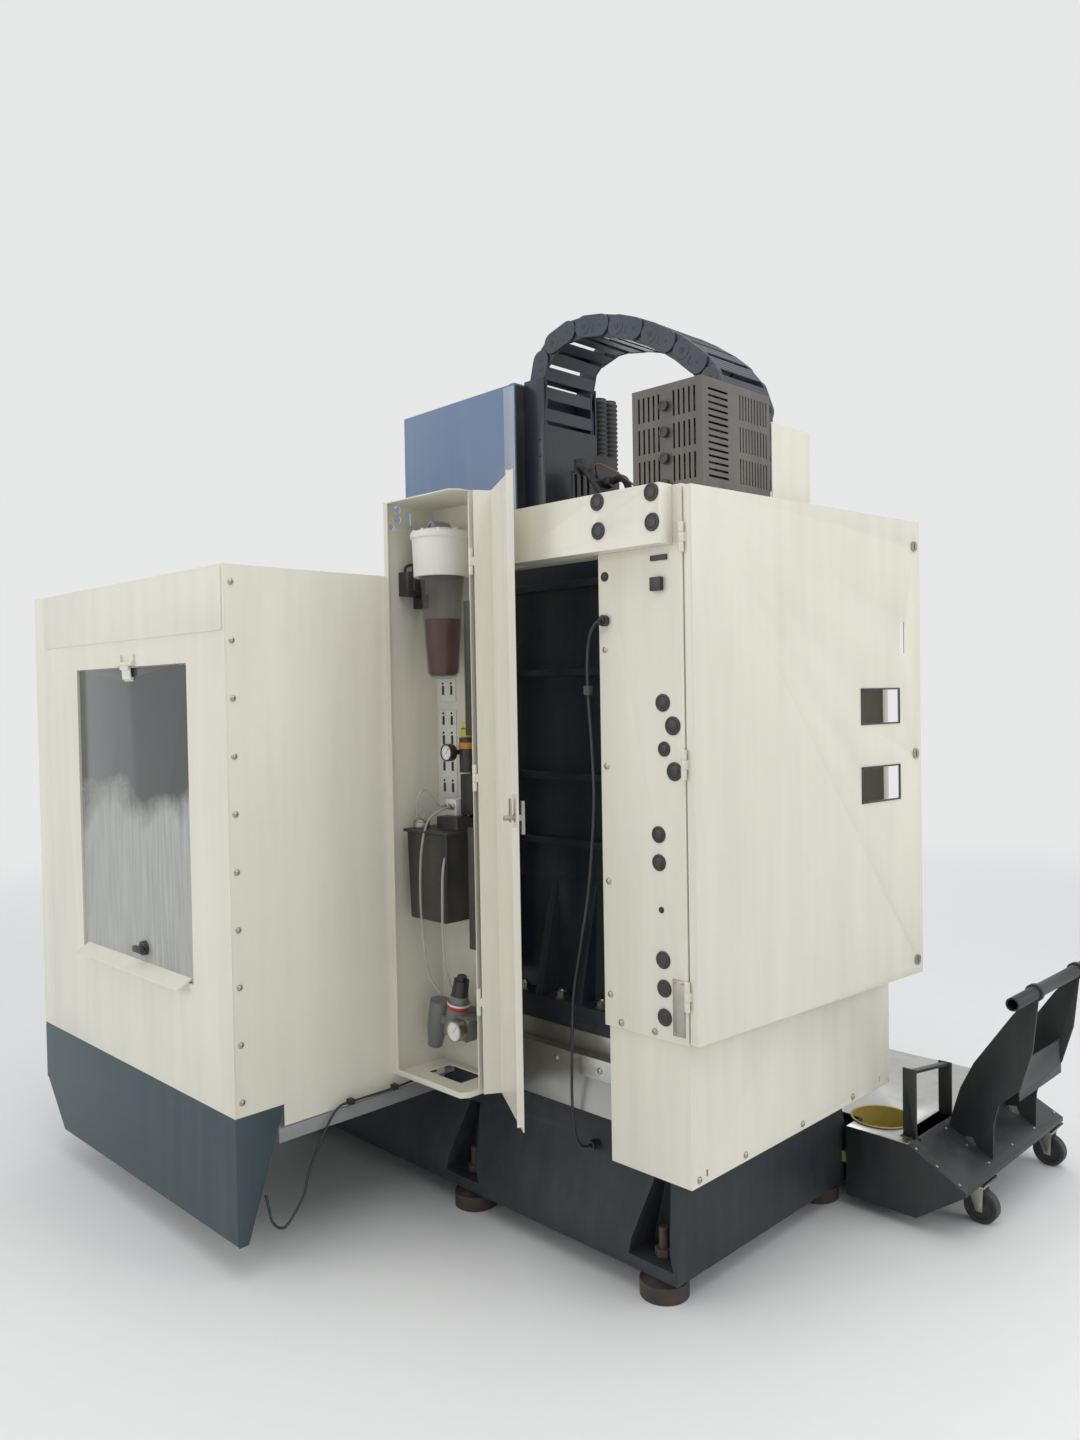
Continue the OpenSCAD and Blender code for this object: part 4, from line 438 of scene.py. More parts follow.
# Copies one unit to every place, a point with a turn, by a geometry node rule, and keeps a plain mesh.
def repeated(name, unit_shape, places, material, body="frame", size=1.0,
             stands_for=(), ride=True):
    bmesh.ops.recalc_face_normals(unit_shape, faces=unit_shape.faces)
    unit_mesh = bpy.data.meshes.new(name + "_unit")
    unit_shape.to_mesh(unit_mesh)
    unit_shape.free()
    unit = link_mesh(name + "_unit", unit_mesh)
    mesh = bpy.data.meshes.new(name)
    mesh.from_pydata([tuple(p) for p, _ in places], [], [])
    turn = mesh.attributes.new("turn", 'FLOAT_VECTOR', 'POINT')
    turn.data.foreach_set("vector", [v for _, r in places for v in r])
    piece = link_mesh(name, mesh)
    tree = bpy.data.node_groups.new(name + "_rule", 'GeometryNodeTree')
    tree.interface.new_socket(name="Geometry", in_out='INPUT', socket_type='NodeSocketGeometry')
    unit_in = tree.interface.new_socket(name="Unit", in_out='INPUT', socket_type='NodeSocketObject')
    size_in = tree.interface.new_socket(name="Size", in_out='INPUT', socket_type='NodeSocketFloat')
    coat_in = tree.interface.new_socket(name="Finish", in_out='INPUT', socket_type='NodeSocketMaterial')
    tree.interface.new_socket(name="Geometry", in_out='OUTPUT', socket_type='NodeSocketGeometry')
    nodes, links = tree.nodes, tree.links
    given, result = nodes.new('NodeGroupInput'), nodes.new('NodeGroupOutput')
    info, stamp = nodes.new('GeometryNodeObjectInfo'), nodes.new('GeometryNodeInstanceOnPoints')
    named, euler = nodes.new('GeometryNodeInputNamedAttribute'), nodes.new('FunctionNodeEulerToRotation')
    real, coat = nodes.new('GeometryNodeRealizeInstances'), nodes.new('GeometryNodeSetMaterial')
    named.data_type = 'FLOAT_VECTOR'
    named.inputs['Name'].default_value = "turn"
    links.new(given.outputs['Geometry'], stamp.inputs['Points'])
    links.new(given.outputs['Unit'], info.inputs['Object'])
    links.new(info.outputs['Geometry'], stamp.inputs['Instance'])
    links.new(named.outputs['Attribute'], euler.inputs['Euler'])
    links.new(euler.outputs['Rotation'], stamp.inputs['Rotation'])
    links.new(given.outputs['Size'], stamp.inputs['Scale'])
    links.new(stamp.outputs['Instances'], real.inputs['Geometry'])
    links.new(real.outputs['Geometry'], coat.inputs['Geometry'])
    links.new(given.outputs['Finish'], coat.inputs['Material'])
    links.new(coat.outputs['Geometry'], result.inputs['Geometry'])
    rule = piece.modifiers.new("rule", 'NODES')
    rule.node_group = tree
    rule[unit_in.identifier] = unit
    rule[size_in.identifier] = size
    rule[coat_in.identifier] = material
    plain(piece)
    bpy.data.objects.remove(unit)
    shade(piece.data)
    if stands_for:
        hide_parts(*stands_for)
    if ride:
        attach(piece, body)
    return piece


ORIGIN = Vector((0, 0, 0))
UP, RIGHT = (0, 0, 1), (1, 0, 0)
plated = soiled("plated_steel", (0.46, 0.44, 0.39), 0.28, soil=(0.16, 0.13, 0.09), amount=0.4, scale=25,
                metallic=1.0)
dome = bmesh.new()
turned(dome, ORIGIN, UP, [(0, 0), (8.2, 0), (8.2, 1.2), (6.6, 1.4), (6.2, 2.6), (4.8, 4.0), (2.6, 4.8),
                          (1.9, 4.9), (1.9, 3.4), (0, 3.4)], 20)
FACES_RIGHT = (0, math.pi / 2, 0)
FACES_REAR = (-math.pi / 2, 0, 0)
SKIN_SCREW_X, SKIN_SCREW_Z, SKIN_SCREW_STEP = 1020, 449, 142.56
CABINET_SIDE = 468
screws = [(mm(side * SKIN_SCREW_X, 0, SKIN_SCREW_Z + i * SKIN_SCREW_STEP), FACES_REAR)
          for side in (1, -1) for i in range(10)]
screws += [(mm(CABINET_SIDE, 728, z), FACES_RIGHT) for z in (1545, 1273, 1004, 738)]
screws += [(mm(CABINET_SIDE, y, 677), FACES_RIGHT) for y in (760, 860)]
screws += [(mm(x, 950, 353), FACES_REAR) for x in (-250, 0, 250, 430)]
screws += [(mm(440, y, 534), FACES_RIGHT) for y in (520, 665)]
repeated("dome_screws", dome, screws, plated)
nut = bmesh.new()
turned(nut, ORIGIN, UP, [(0, 0), (21, 0), (21, 3), (18, 3), (18, 3.1)], 6)
turned(nut, ORIGIN, UP, [(15, 3), (15, 17), (13, 19), (0, 19)], 6)
turned(nut, ORIGIN, UP, [(9, 19), (9, 24), (0, 24)], 16)
repeated("foot_nuts", nut, [(mm(side * 364, y, 660), (0, 0, y)) for side in (1, -1)
                            for y in (330, 470, 610)], plated, stands_for=("fasteners",))

# Head cover, motors and steel parts: the cover is folded sheet painted slate blue, and the motors and the
# pendant's arm are black. Table, spindle, ball screw, gutter strip and the tank's lid are bare steel.
slate = soiled("slate_coat", (0.140, 0.205, 0.330), 0.34, soil=(0.28, 0.34, 0.44), amount=0.22,
               scale=2.2, grain=700, bump=0.05, coat=0.1)
softened("head_cover", slate, 0.002, body="head")
black_coat = soiled("black_coat", (0.018, 0.019, 0.021), 0.4, amount=0.3, scale=8)
softened("z_motor", black_coat, 0.002)
softened("spindle_motor", black_coat, 0.002, body="head")
softened("pendant_arm", black_coat, 0.001, body="arm")
bare = soiled("bare_steel", (0.50, 0.50, 0.48), 0.30, soil=(0.20, 0.17, 0.13), amount=0.35, scale=7,
              metallic=1.0, grain=300, bump=0.08)
for node, body in (("table", "table_unit"), ("spindle", "spindle_unit"), ("z_screw", "lift_screw"),
                   ("gutter_rail", "frame"), ("tank_lid", "tank")):
    softened(node, bare, 0.0008, body=body)

# Rear plate, edge strip and two-lobed bellows duct of the head cover: black painted sheet, a paler strip
# along the right side, and molded rubber bellows with a rib every RIB_STEP mm.
RIB_STEP = 14
plate = bmesh.new()
block(plate, (-147, 147), (108.2, 110.0), (1766, 2352))
made("cover_rear_plate", plate, [black_coat], body="head", edge=0.0006)
edge_coat = soiled("edge_strip", (0.36, 0.41, 0.48), 0.36, soil=(0.15, 0.16, 0.18), amount=0.3, scale=4)
strip = bmesh.new()
block(strip, (150, 151.4), (62, 107), (1770, 2350))
made("cover_edge_strip", strip, [edge_coat], body="head", edge=0.0006)
rubber = soiled("bellows_rubber", (0.026, 0.026, 0.028), 0.55, soil=(0.13, 0.12, 0.11), amount=0.4, scale=25)
duct = bmesh.new()
ribs = [(radius, 2 + i * RIB_STEP + rise) for i in range(28)
        for radius, rise in ((25.4, 0), (29.2, 4), (29.2, 8), (25.4, 12))]
for x in (-228, -181):
    turned(duct, mm(x, 140, 1961), UP, [(25.4, 0)] + ribs + [(25.6, 399.4), (0, 399.6)], 28)
made("bellows_duct", duct, [rubber], body="head", angle=50)

# Motor leads on the column's top: black corrugated conduits and a thin brown lead leave the lift motor
# and go down behind it, back to the electrical cabinet.
conduits = bmesh.new()
for route, radius in (
        (((0, 350, 2052), (4, 392, 2054), (22, 430, 2020), (48, 462, 1950), (56, 492, 1903)), 9),
        (((58, 300, 1990), (92, 318, 1996), (122, 352, 1968), (138, 410, 1925), (142, 470, 1904)), 8),
        (((50, 280, 2075), (84, 296, 2092), (104, 340, 2070), (96, 400, 1990), (88, 450, 1904)), 6),
        (((-40, 300, 1985), (-74, 330, 1984), (-96, 380, 1940), (-98, 430, 1903)), 9)):
    way = smooth_route(place_points(route), 14)
    hose(conduits, way, radius, 12)
    ring = [(radius, 0), (radius + 1.5, 0.6), (radius + 1.5, 1.8), (radius, 2.4)]
    for k in range(1, len(way) - 1):
        along = (way[k + 1] - way[k - 1]).normalized()
        turned(conduits, way[k] - along * 0.0012, along, ring, 12)
tint(conduits, 0)
brown = soiled("brown_lead", (0.16, 0.075, 0.05), 0.5, amount=0.3, scale=20)
brown_route = place_points([(40, 330, 2060), (88, 372, 2086), (106, 470, 2040), (86, 580, 1950),
                            (60, 660, 1912), (52, 708, 1903)])
hose(conduits, smooth_route(brown_route, 9), 2.6, 8)
tint(conduits, 1)
made("motor_leads", conduits, [rubber, brown], angle=50)

# Energy chain: molded gray side plates pinned link to link, outer and inner ones by turns, closed by a wide
# ribbed lid outside the bend and a narrower slat inside it. Each plate carries a pin head and an L mark.
LINK_PITCH = 62.7
OUTER_REACH, INNER_REACH = 107, 99.7
TURNS = (90, 90, 90, 90, 75, 41, 16, -1, -10, -16, -21, -26, -31, -35, -41, -51, -70, -90, -90, -90)
pins = [(158.0, 2102.0)]
for turn in TURNS:
    pins.append((pins[-1][0] + LINK_PITCH * math.cos(math.radians(turn)),
                 pins[-1][1] + LINK_PITCH * math.sin(math.radians(turn))))
middles = [(mm(0, (a[0] + b[0]) / 2, (a[1] + b[1]) / 2), (math.radians(turn), 0, 0))
           for a, b, turn in zip(pins, pins[1:], TURNS)]


def bar(shape, x, y, z):
    corners = block(shape, x, y, z)
    for corner in corners:
        corner.co.y -= BACK


def stadium(radius):
    ends = [(LINK_PITCH / 2 + radius * math.cos(a), radius * math.sin(a))
            for a in (math.radians(-90 + 15 * k) for k in range(13))]
    return ends + [(-y, -z) for y, z in ends]


def link_unit(outer):
    shape = bmesh.new()
    bar(shape, (-outer + 1, outer - 1), (-25, 25), (25.5, 29.8))
    for y in (-17, -6, 6, 17):
        bar(shape, (-outer + 12, outer - 12), (y - 1.6, y + 1.6), (28.5, 30.4))
    bar(shape, (-outer + 1, outer - 1), (-18, 18), (-29.5, -25.5))
    bmesh.ops.bevel(shape, geom=shape.edges[:], offset=0.0007, segments=1, affect='EDGES')
    for s in (-1, 1):
        rings = [[shape.verts.new((s * x / 1000, y / 1000, z / 1000)) for y, z in stadium(30.5 - inset)]
                 for x, inset in ((outer - 7, 0.8), (outer - 6.2, 0), (outer - 1.2, 0), (outer, 1.2))]
        for low, high in zip(rings, rings[1:]):
            for k in range(len(low)):
                j = (k + 1) % len(low)
                shape.faces.new((low[k], low[j], high[j], high[k]))
        shape.faces.new(rings[0])
        shape.faces.new(rings[-1])
        arc = [Vector((s * (outer + 0.1), 23.5 * math.cos(a) - LINK_PITCH / 2, 23.5 * math.sin(a))) / 1000
               for a in (math.radians(-80 + 16 * k) for k in range(11))]
        hose(shape, arc, 0.9, 6)
    return shape


def mark_unit(outer):
    shape = bmesh.new()
    for s in (-1, 1):
        spot = Vector((s * (outer - 0.5) / 1000, 0, 0))
        pin = Vector((0, LINK_PITCH / 2000, 0))
        turned(shape, spot - pin, (s, 0, 0), [(8, 0), (8, 1.0), (6.6, 1.5), (0, 1.5)], 20)
        turned(shape, spot + pin, (s, 0, 0), [(4.5, 0), (4.5, 0.9), (0, 0.9)], 16)
        x = sorted((s * (outer - 0.5), s * (outer + 0.3)))
        bar(shape, x, (3, 7), (-17, 4))
        bar(shape, x, (7, 17), (-17, -13))
    return shape


# The ends of the chain are channels of plated sheet, one on the electrical cabinet's top and one on the
# spindle head, each held by four hex screws.
chain_plastic = soiled("chain_plastic", (0.034, 0.044, 0.060), 0.38, soil=(0.13, 0.14, 0.15),
                       amount=0.22, scale=14, grain=500, bump=0.08)
chain_mark = soiled("chain_mark", (0.02, 0.021, 0.024), 0.5, amount=0.3, scale=14)
for name, unit, spots, coat in (("chain_outer_links", link_unit(OUTER_REACH), middles[0::2], chain_plastic),
                                ("chain_inner_links", link_unit(INNER_REACH), middles[1::2], chain_plastic),
                                ("chain_outer_marks", mark_unit(OUTER_REACH), middles[0::2], chain_mark),
                                ("chain_inner_marks", mark_unit(INNER_REACH), middles[1::2], chain_mark)):
    links_made = repeated(name, unit, spots, coat, ride=False,
                          stands_for=("energy_chain",) if name == "chain_outer_links" else ())
    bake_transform(links_made)
for name, body, y, low, high in (("chain_foot", "frame", pins[-1][0], 1897.4, pins[-1][1] - 14),
                                 ("chain_head_end", "head", 158, 2040.2, 2087)):
    foot = bmesh.new()
    block(foot, (-99, 99), (y - 23 if body == "frame" else 121, y + 22), (low, low + 5.5))
    for x in ((-99.5, -93.2), (93.2, 99.5)):
        block(foot, x, (y - 20, y + 20), (low, high))
    for x in (-70, -25, 25, 70):
        turned(foot, mm(x, y, low + 5.5), UP, [(6, 0), (6, 3), (5, 4), (0, 4)], 6)
    made(name, foot, [plated], body=body, edge=0.0006)

# Vented guard over the braking resistors: brown-gray slotted sheet. Four round knobs hold its right side,
# and the ceramic resistor tubes with their windings show dark through the slots.
guard_coat = soiled("guard_coat", (0.105, 0.092, 0.083), 0.45, soil=(0.30, 0.27, 0.24), amount=0.35,
                    scale=7, grain=600, bump=0.08)
softened("resistor_cover", guard_coat, 0.0009, steps=1)
GUARD_SIDE, GUARD_MIDDLE = 382.5, 849
knobs = bmesh.new()
for i in range(4):
    spot = mm(GUARD_SIDE, GUARD_MIDDLE, 1919 + i * 60)
    turned(knobs, spot, RIGHT, [(7, 0), (7, 3), (12, 3.4), (12.6, 5), (12.6, 12), (11.4, 13.6), (7, 14),
                                (6, 12.8), (0, 12.8)], 24)
black_plastic = soiled("black_plastic", (0.02, 0.02, 0.021), 0.4, amount=0.3, scale=12)
made("guard_knobs", knobs, [black_plastic], angle=24)
coil_coat = soiled("resistor_winding", (0.055, 0.048, 0.042), 0.5, amount=0.3, scale=20)
tube = bmesh.new()
winding = [(radius, -78 + i * 6.5 + rise) for i in range(24)
           for radius, rise in ((18.5, 0), (20.4, 1.8), (20.4, 3.6), (18.5, 5.4))]
turned(tube, ORIGIN, (0, 1, 0),
       [(8, -88), (20, -88), (20, -80)] + winding + [(20, 80), (20, 88), (8, 88)], 20)
repeated("resistor_tubes", tube, [(mm(x, GUARD_MIDDLE, z), (0, 0, 0)) for x in (165, 225, 285, 335)
                                  for z in (1955, 2030, 2105)], coil_coat)

# Oil bowl of the service cabinet: a clear molded bowl, half full, screwed under a white cap with a level
# switch. A valve block with two hoses and slotted mounting plates stand behind it on the cabinet's wall.
def see_through(material, share):
    material.node_tree.nodes["Principled BSDF"].inputs['Alpha'].default_value = share
    return material


white_plastic = soiled("white_plastic", (0.80, 0.79, 0.73), 0.34, soil=(0.45, 0.40, 0.32), amount=0.22,
                       scale=9)
# The bowl's clear plastic gets a dark gray tint: painted shade standing for the dark inside seen through it.
clear_bowl = see_through(soiled("clear_bowl", (0.10, 0.10, 0.105), 0.10, soil=(0.30, 0.28, 0.25),
                                amount=0.35, scale=20), 0.24)
oil = soiled("dark_oil", (0.17, 0.035, 0.030), 0.12, soil=(0.07, 0.015, 0.015), amount=0.4, scale=12)
BOWL_X, BOWL_Y = 461, 134
bowl_axis = mm(BOWL_X, BOWL_Y, 0)
bowl = bmesh.new()
turned(bowl, bowl_axis, UP, [(0, 1491), (22, 1491), (36, 1495), (44, 1507), (58, 1742), (64, 1789),
                             (61, 1789), (55, 1742), (41, 1509), (34, 1499), (0, 1496)], 48)
made("oil_bowl_glass", bowl, [clear_bowl], stands_for=("oil_bowl",))
fill = bmesh.new()
turned(fill, bowl_axis, UP, [(0, 1497), (33, 1500), (40.4, 1510), (48.7, 1645), (49.2, 1652), (47, 1650),
                             (0, 1650)], 48)
made("oil_fill", fill, [oil])
cap = bmesh.new()
turned(cap, bowl_axis, UP, [
    (0, 1790.3), (64.6, 1790.3), (64.6, 1766), (75, 1766), (76.2, 1768), (79, 1860), (80, 1866),
    (84, 1870), (84, 1883), (82, 1886), (68, 1888), (64, 1892), (30, 1893), (28, 1899), (0, 1899)], 64)
for k in range(10):
    a = math.radians(36 * k + 9)
    turned(cap, mm(BOWL_X + 74 * math.cos(a), BOWL_Y + 74 * math.sin(a), 1884), UP,
           [(5, 0), (5, 6), (4, 7.5), (0, 7.5)], 12)
block(cap, (376, 414), (100, 168), (1800, 1850))
tint(cap, 0)
turned(cap, mm(411, 104, 1907), RIGHT, [(0, 0), (14, 0), (15, 2), (15, 60), (13.5, 62), (10, 62), (10, 64),
                                        (7, 64), (7, 58), (0, 58)], 28)
tint(cap, 1)
switch_coat = soiled("switch_gray", (0.33, 0.33, 0.38), 0.42, amount=0.25, scale=14)
made("oil_bowl_top", cap, [white_plastic, switch_coat], edge=0.0005,
     stands_for=("oil_bowl_cap",), angle=30)
valve = bmesh.new()
block(valve, (447, 508), (3.2, 46), (1722, 1788))
block(valve, (428, 458), (3.2, 38), (1690, 1730))
block(valve, (462, 492), (46, 54), (1735, 1775))
hose(valve, smooth_route(place_points([(500, 24, 1786), (500, 26, 1800), (484, 30, 1808), (462, 32, 1800),
                                       (455, 30, 1786)]), 5), 4.0)
hose(valve, smooth_route(place_points([(470, 24, 1788), (468, 30, 1830), (440, 34, 1880),
                                       (412, 40, 1905)]), 6), 5.5)
made("valve_block", valve, [black_plastic], edge=0.0015)
plates = bmesh.new()
for height in ((1428, 1492), (1290, 1404), (1155, 1275)):
    block(plates, (376.2, 379), (14, 86), height)
tint(plates, 0)
for z in (1460, 1375, 1320, 1245, 1185):
    for y in (32, 68):
        block(plates, (378.6, 379.3), (y - 5, y + 5), (z - 13, z + 13))
        turned(plates, mm(379, y, z + 20), RIGHT, [(3.4, 0), (3.4, 1.8), (0, 2.2)], 10)
tint(plates, 1)
made("slotted_plates", plates, [white_plastic, black_plastic], edge=0.0004)

# Air unit, lubrication tank and filter regulator: black and gray molded bodies screwed to the cabinet's
# wall, with a yellow adjusting cap, an orange ring, two dial gauges and clear push-in tubes.
softened("air_unit", black_plastic, 0.0012)
softened("lube_tank", black_plastic, 0.003)
orange = soiled("orange_ring", (0.60, 0.20, 0.03), 0.35, amount=0.2, scale=20)
yellow = soiled("yellow_cap", (0.62, 0.46, 0.05), 0.38, amount=0.25, scale=20)
white_face = soiled("dial_face", (0.80, 0.80, 0.77), 0.3, amount=0.1, scale=20)
regulator_axis = mm(420.3, 181, 0)
fittings = bmesh.new()
turned(fittings, regulator_axis, UP, [(17.6, 1331), (17.6, 1350), (16, 1357), (12.6, 1358), (12.6, 1372),
                                      (11, 1374), (0, 1374)], 28)
tint(fittings, 0)
turned(fittings, regulator_axis, UP, [(23.6, 1300), (24.4, 1302), (24.4, 1315), (23.6, 1317)], 28)
tint(fittings, 1)
block(fittings, (385, 438), (104, 149), (1108, 1160))
tint(fittings, 2)
for y in (116, 137):
    turned(fittings, mm(438, y, 1140), RIGHT, [(8, 0), (8, 6), (6.5, 8), (6.5, 15), (4, 15), (0, 15)], 16)
turned(fittings, mm(491, 64, 1082), UP, [(22.8, 0), (22.8, 15), (21.5, 18), (21.5, 21), (19, 23),
                                         (0, 23)], 28)
tint(fittings, 3)
made("air_fittings", fittings, [yellow, orange, white_plastic, plated], edge=0.0006)


def dial(name, spot, radius, depth, rim):
    shape = bmesh.new()
    turned(shape, spot, RIGHT, [(0, 0), (radius, 0), (radius + 0.5, 1), (radius + 0.5, depth),
                                (radius - 1, depth + 1.4), (radius - 3, depth + 1.2),
                                (radius - 3, depth - 1.6), (0, depth - 1.6)], 40)
    tint(shape, 0)
    turned(shape, spot + Vector((depth - 1.55, 0, 0)) / 1000, RIGHT,
           [(radius - 3.1, 0), (radius - 3.1, 0.25), (0, 0.25)], 40)
    tint(shape, 1)
    for k in range(11):
        a = math.radians(-45 + 27 * k)
        mark = Vector((depth - 1.25, (radius - 7) * math.cos(a), (radius - 7) * math.sin(a))) / 1000
        turned(shape, spot + mark, RIGHT, [(0.9, 0), (0.9, 0.15), (0, 0.15)], 8)
    hub = spot + Vector((depth - 0.9, 0, 0)) / 1000
    tip = Vector((0, 0.6, 0.8)) * (radius - 8) / 1000
    hose(shape, [hub - tip * 0.25, hub + tip], 0.6, 6)
    tint(shape, 2)
    made(name, shape, [rim, white_face, black_plastic], angle=30)


dial("pressure_gauge", mm(448.3, 147, 1290), 23.2, 21, black_plastic)
dial("filter_gauge", mm(477, 193.7, 544.6), 28.3, 24, plated)
clear_tube = see_through(soiled("clear_tube", (0.50, 0.50, 0.46), 0.18, soil=(0.35, 0.28, 0.18),
                                amount=0.4, scale=12), 0.6)
tubes = bmesh.new()
for route in (((453, 116, 1140), (476, 112, 1150), (508, 104, 1190), (530, 98, 1170), (528, 92, 1125),
               (505, 84, 1108), (494, 80, 1120)),
              ((453, 137, 1140), (486, 130, 1130), (520, 122, 1100), (538, 116, 1010), (536, 110, 860),
               (524, 120, 700), (500, 140, 640)),
              ((420, 181, 1122), (452, 184, 1060), (520, 196, 1015), (536, 200, 900), (524, 190, 740),
               (480, 165, 650))):
    hose(tubes, smooth_route(place_points(route), 7), 3.4, 10)
made("clear_tubes", tubes, [clear_tube], angle=60)
filter_gray = soiled("filter_gray", (0.16, 0.165, 0.175), 0.34, soil=(0.28, 0.25, 0.2), amount=0.35,
                     scale=14)
softened("filter_regulator", filter_gray, 0.0015)
filter_foot, filter_tilt = mm(451, 150, 560), (0, 0.2079, 0.9781)
bands = bmesh.new()
turned(bands, filter_foot, filter_tilt, [(31.4, 34), (31.6, 34.4), (31.6, 43), (31.4, 43.4)], 40)
tint(bands, 0)
turned(bands, filter_foot, filter_tilt, [(31.4, 44), (31.6, 44.4), (31.6, 49.4), (31.4, 49.7)], 40)
tint(bands, 1)
red = soiled("red_plastic", (0.50, 0.02, 0.015), 0.3, amount=0.1, scale=12)
made("filter_bands", bands, [red, white_plastic])

# Hole plugs and sockets of the cabinet's side: snap-in plugs of black plastic with a raised rim, square
# outlets, and a steel inlet plate held by four screws.
TRUNK_SIDE = 513
plug_spots = [(CABINET_SIDE, *spot) for spot in (
    (896, 1420, 20), (923, 1369, 21), (898, 1317, 17), (926, 1268, 21), (879, 1125, 19), (879, 1062, 19),
    (887, 844, 20), (889, 780, 20), (889, 715, 20), (730, 1714, 11), (884, 956, 7))]
plug_spots += [(TRUNK_SIDE, y, z, 20) for y, z in ((750, 1879), (752, 1813), (908, 1879), (909, 1814))]
plugs = bmesh.new()
for x, y, z, r in plug_spots:
    turned(plugs, mm(x + 0.1, y, z), RIGHT, [(r, 0), (r, 1.8), (r - 1.2, 3.0), (r * 0.82, 3.2),
                                             (r * 0.72, 2.0), (r * 0.66, 2.0), (r * 0.6, 3.6),
                                             (r * 0.2, 4.4), (0, 4.4)], 32)
block(plugs, (CABINET_SIDE + 0.1, 472), (868, 914), (1736, 1748))
block(plugs, (CABINET_SIDE + 0.1, 480), (872, 902), (1669, 1699))
tint(plugs, 0)
block(plugs, (CABINET_SIDE + 0.1, 471), (914, 946), (680, 806))
for y, z in ((919, 686), (941, 686), (919, 800), (941, 800)):
    turned(plugs, mm(471, y, z), RIGHT, [(3.4, 0), (3.2, 1.4), (0, 2)], 12)
tint(plugs, 1)
made("side_plugs", plugs, [black_plastic, plated], edge=0.0004,
     stands_for=("side_fittings",))

# Electrical cabinet inside and door trim: rows of gray breakers snap onto the rails of the mounting plate,
# and black edging frames the two cut-outs of the door that show them.
breaker = bmesh.new()
bar(breaker, (-8.6, 8.6), (0, 48), (-38, 38))
bar(breaker, (-8.6, 8.6), (48, 62), (-20, 20))
bar(breaker, (-3, 3), (60, 72), (-7, 7))
bmesh.ops.bevel(breaker, geom=breaker.edges[:], offset=0.0008, segments=1, affect='EDGES')
device = soiled("breaker_gray", (0.42, 0.43, 0.44), 0.4, amount=0.2, scale=14)
BREAKER_STEP, RAIL_Y = 18.2, 812
breaker_spots = [(mm(-350 + i * BREAKER_STEP, RAIL_Y, z), (0, 0, 0)) for i in range(18)
                 for z in (1396, 1196)]
breaker_spots += [(mm(-20 + i * BREAKER_STEP, RAIL_Y, z), (0, 0, 0)) for i in range(20)
                  for z in (1396, 1196, 996)]
repeated("breakers", breaker, breaker_spots, device)
trim = bmesh.new()
for z in (1355, 1153):
    for x, height in (((-357, -353), (z - 4, z + 90)), ((-180, -176), (z - 4, z + 90)),
                      ((-357, -176), (z - 4, z)), ((-357, -176), (z + 86, z + 90))):
        block(trim, x, (979, 982.5), height)
trim_piece = made("cutout_trim", trim, [black_plastic], body="cabinet_door",
                  edge=0.0004)
DOOR_AJAR = math.radians(-4.3)
door_hinge = mm(474, 957, 0)
trim_piece.data.transform(Matrix.Translation(door_hinge) @ Matrix.Rotation(DOOR_AJAR, 4, 'Z')
                          @ Matrix.Translation(-door_hinge))

# Coolant tank: dark painted sheet on plated casters with black rubber tyres. A brass-stained strainer
# basket hangs in its hole over the greenish coolant, and pop rivets hold the sloping tail.
tank_coat = soiled("tank_coat", (0.014, 0.018, 0.020), 0.45, soil=(0.11, 0.11, 0.10), amount=0.30, scale=5)
softened("coolant_tank", tank_coat, 0.0012, body="tank")
coolant = soiled("coolant", (0.30, 0.31, 0.08), 0.08, soil=(0.14, 0.13, 0.06), amount=0.5, scale=9)
pool = bmesh.new()
block(pool, (-590, -350), (780, 1050), (120, 150))
made("coolant_pool", pool, [coolant], body="tank")
residue = soiled("brassy_residue", (0.52, 0.42, 0.10), 0.4, soil=(0.30, 0.24, 0.10), amount=0.6, scale=18)
basket = bmesh.new()
turned(basket, mm(-470, 920, 0), UP, [(0, 166), (70, 166), (80, 170), (80.6, 228), (87, 228.4),
                                      (87, 227.2), (81.4, 226.2), (80.9, 168), (70, 164), (0, 164)], 48)
made("strainer_basket", basket, [residue], body="tank", angle=30)
rivet = bmesh.new()
turned(rivet, ORIGIN, UP, [(4.2, 0), (4.0, 1.2), (2.6, 2.0), (1.0, 2.1), (0, 1.6)], 12)
slope = math.atan2(82, 157)
tail_spots = [(mm(x, 1058 + 150 * t, 224.3 - 78.3 * t), (-slope, 0, 0))
              for x in (-1018, -860, -700, -540, -357) for t in (0.12, 0.5, 0.9)]
repeated("tail_rivets", rivet, tail_spots, plated, body="tank")
dress(plated, "lube_door_latch", "lock_upper", "lock_middle", "lock_lower")
softened("caster_left", plated, 0.001, body="fork_left")
softened("caster_right", plated, 0.001, body="fork_right")
tyre = soiled("tyre_rubber", (0.03, 0.03, 0.031), 0.6, soil=(0.12, 0.12, 0.11), amount=0.6, scale=20)
softened("wheel_left", tyre, 0.003, body="roller_left", steps=3)
softened("wheel_right", tyre, 0.003, body="roller_right", steps=3)

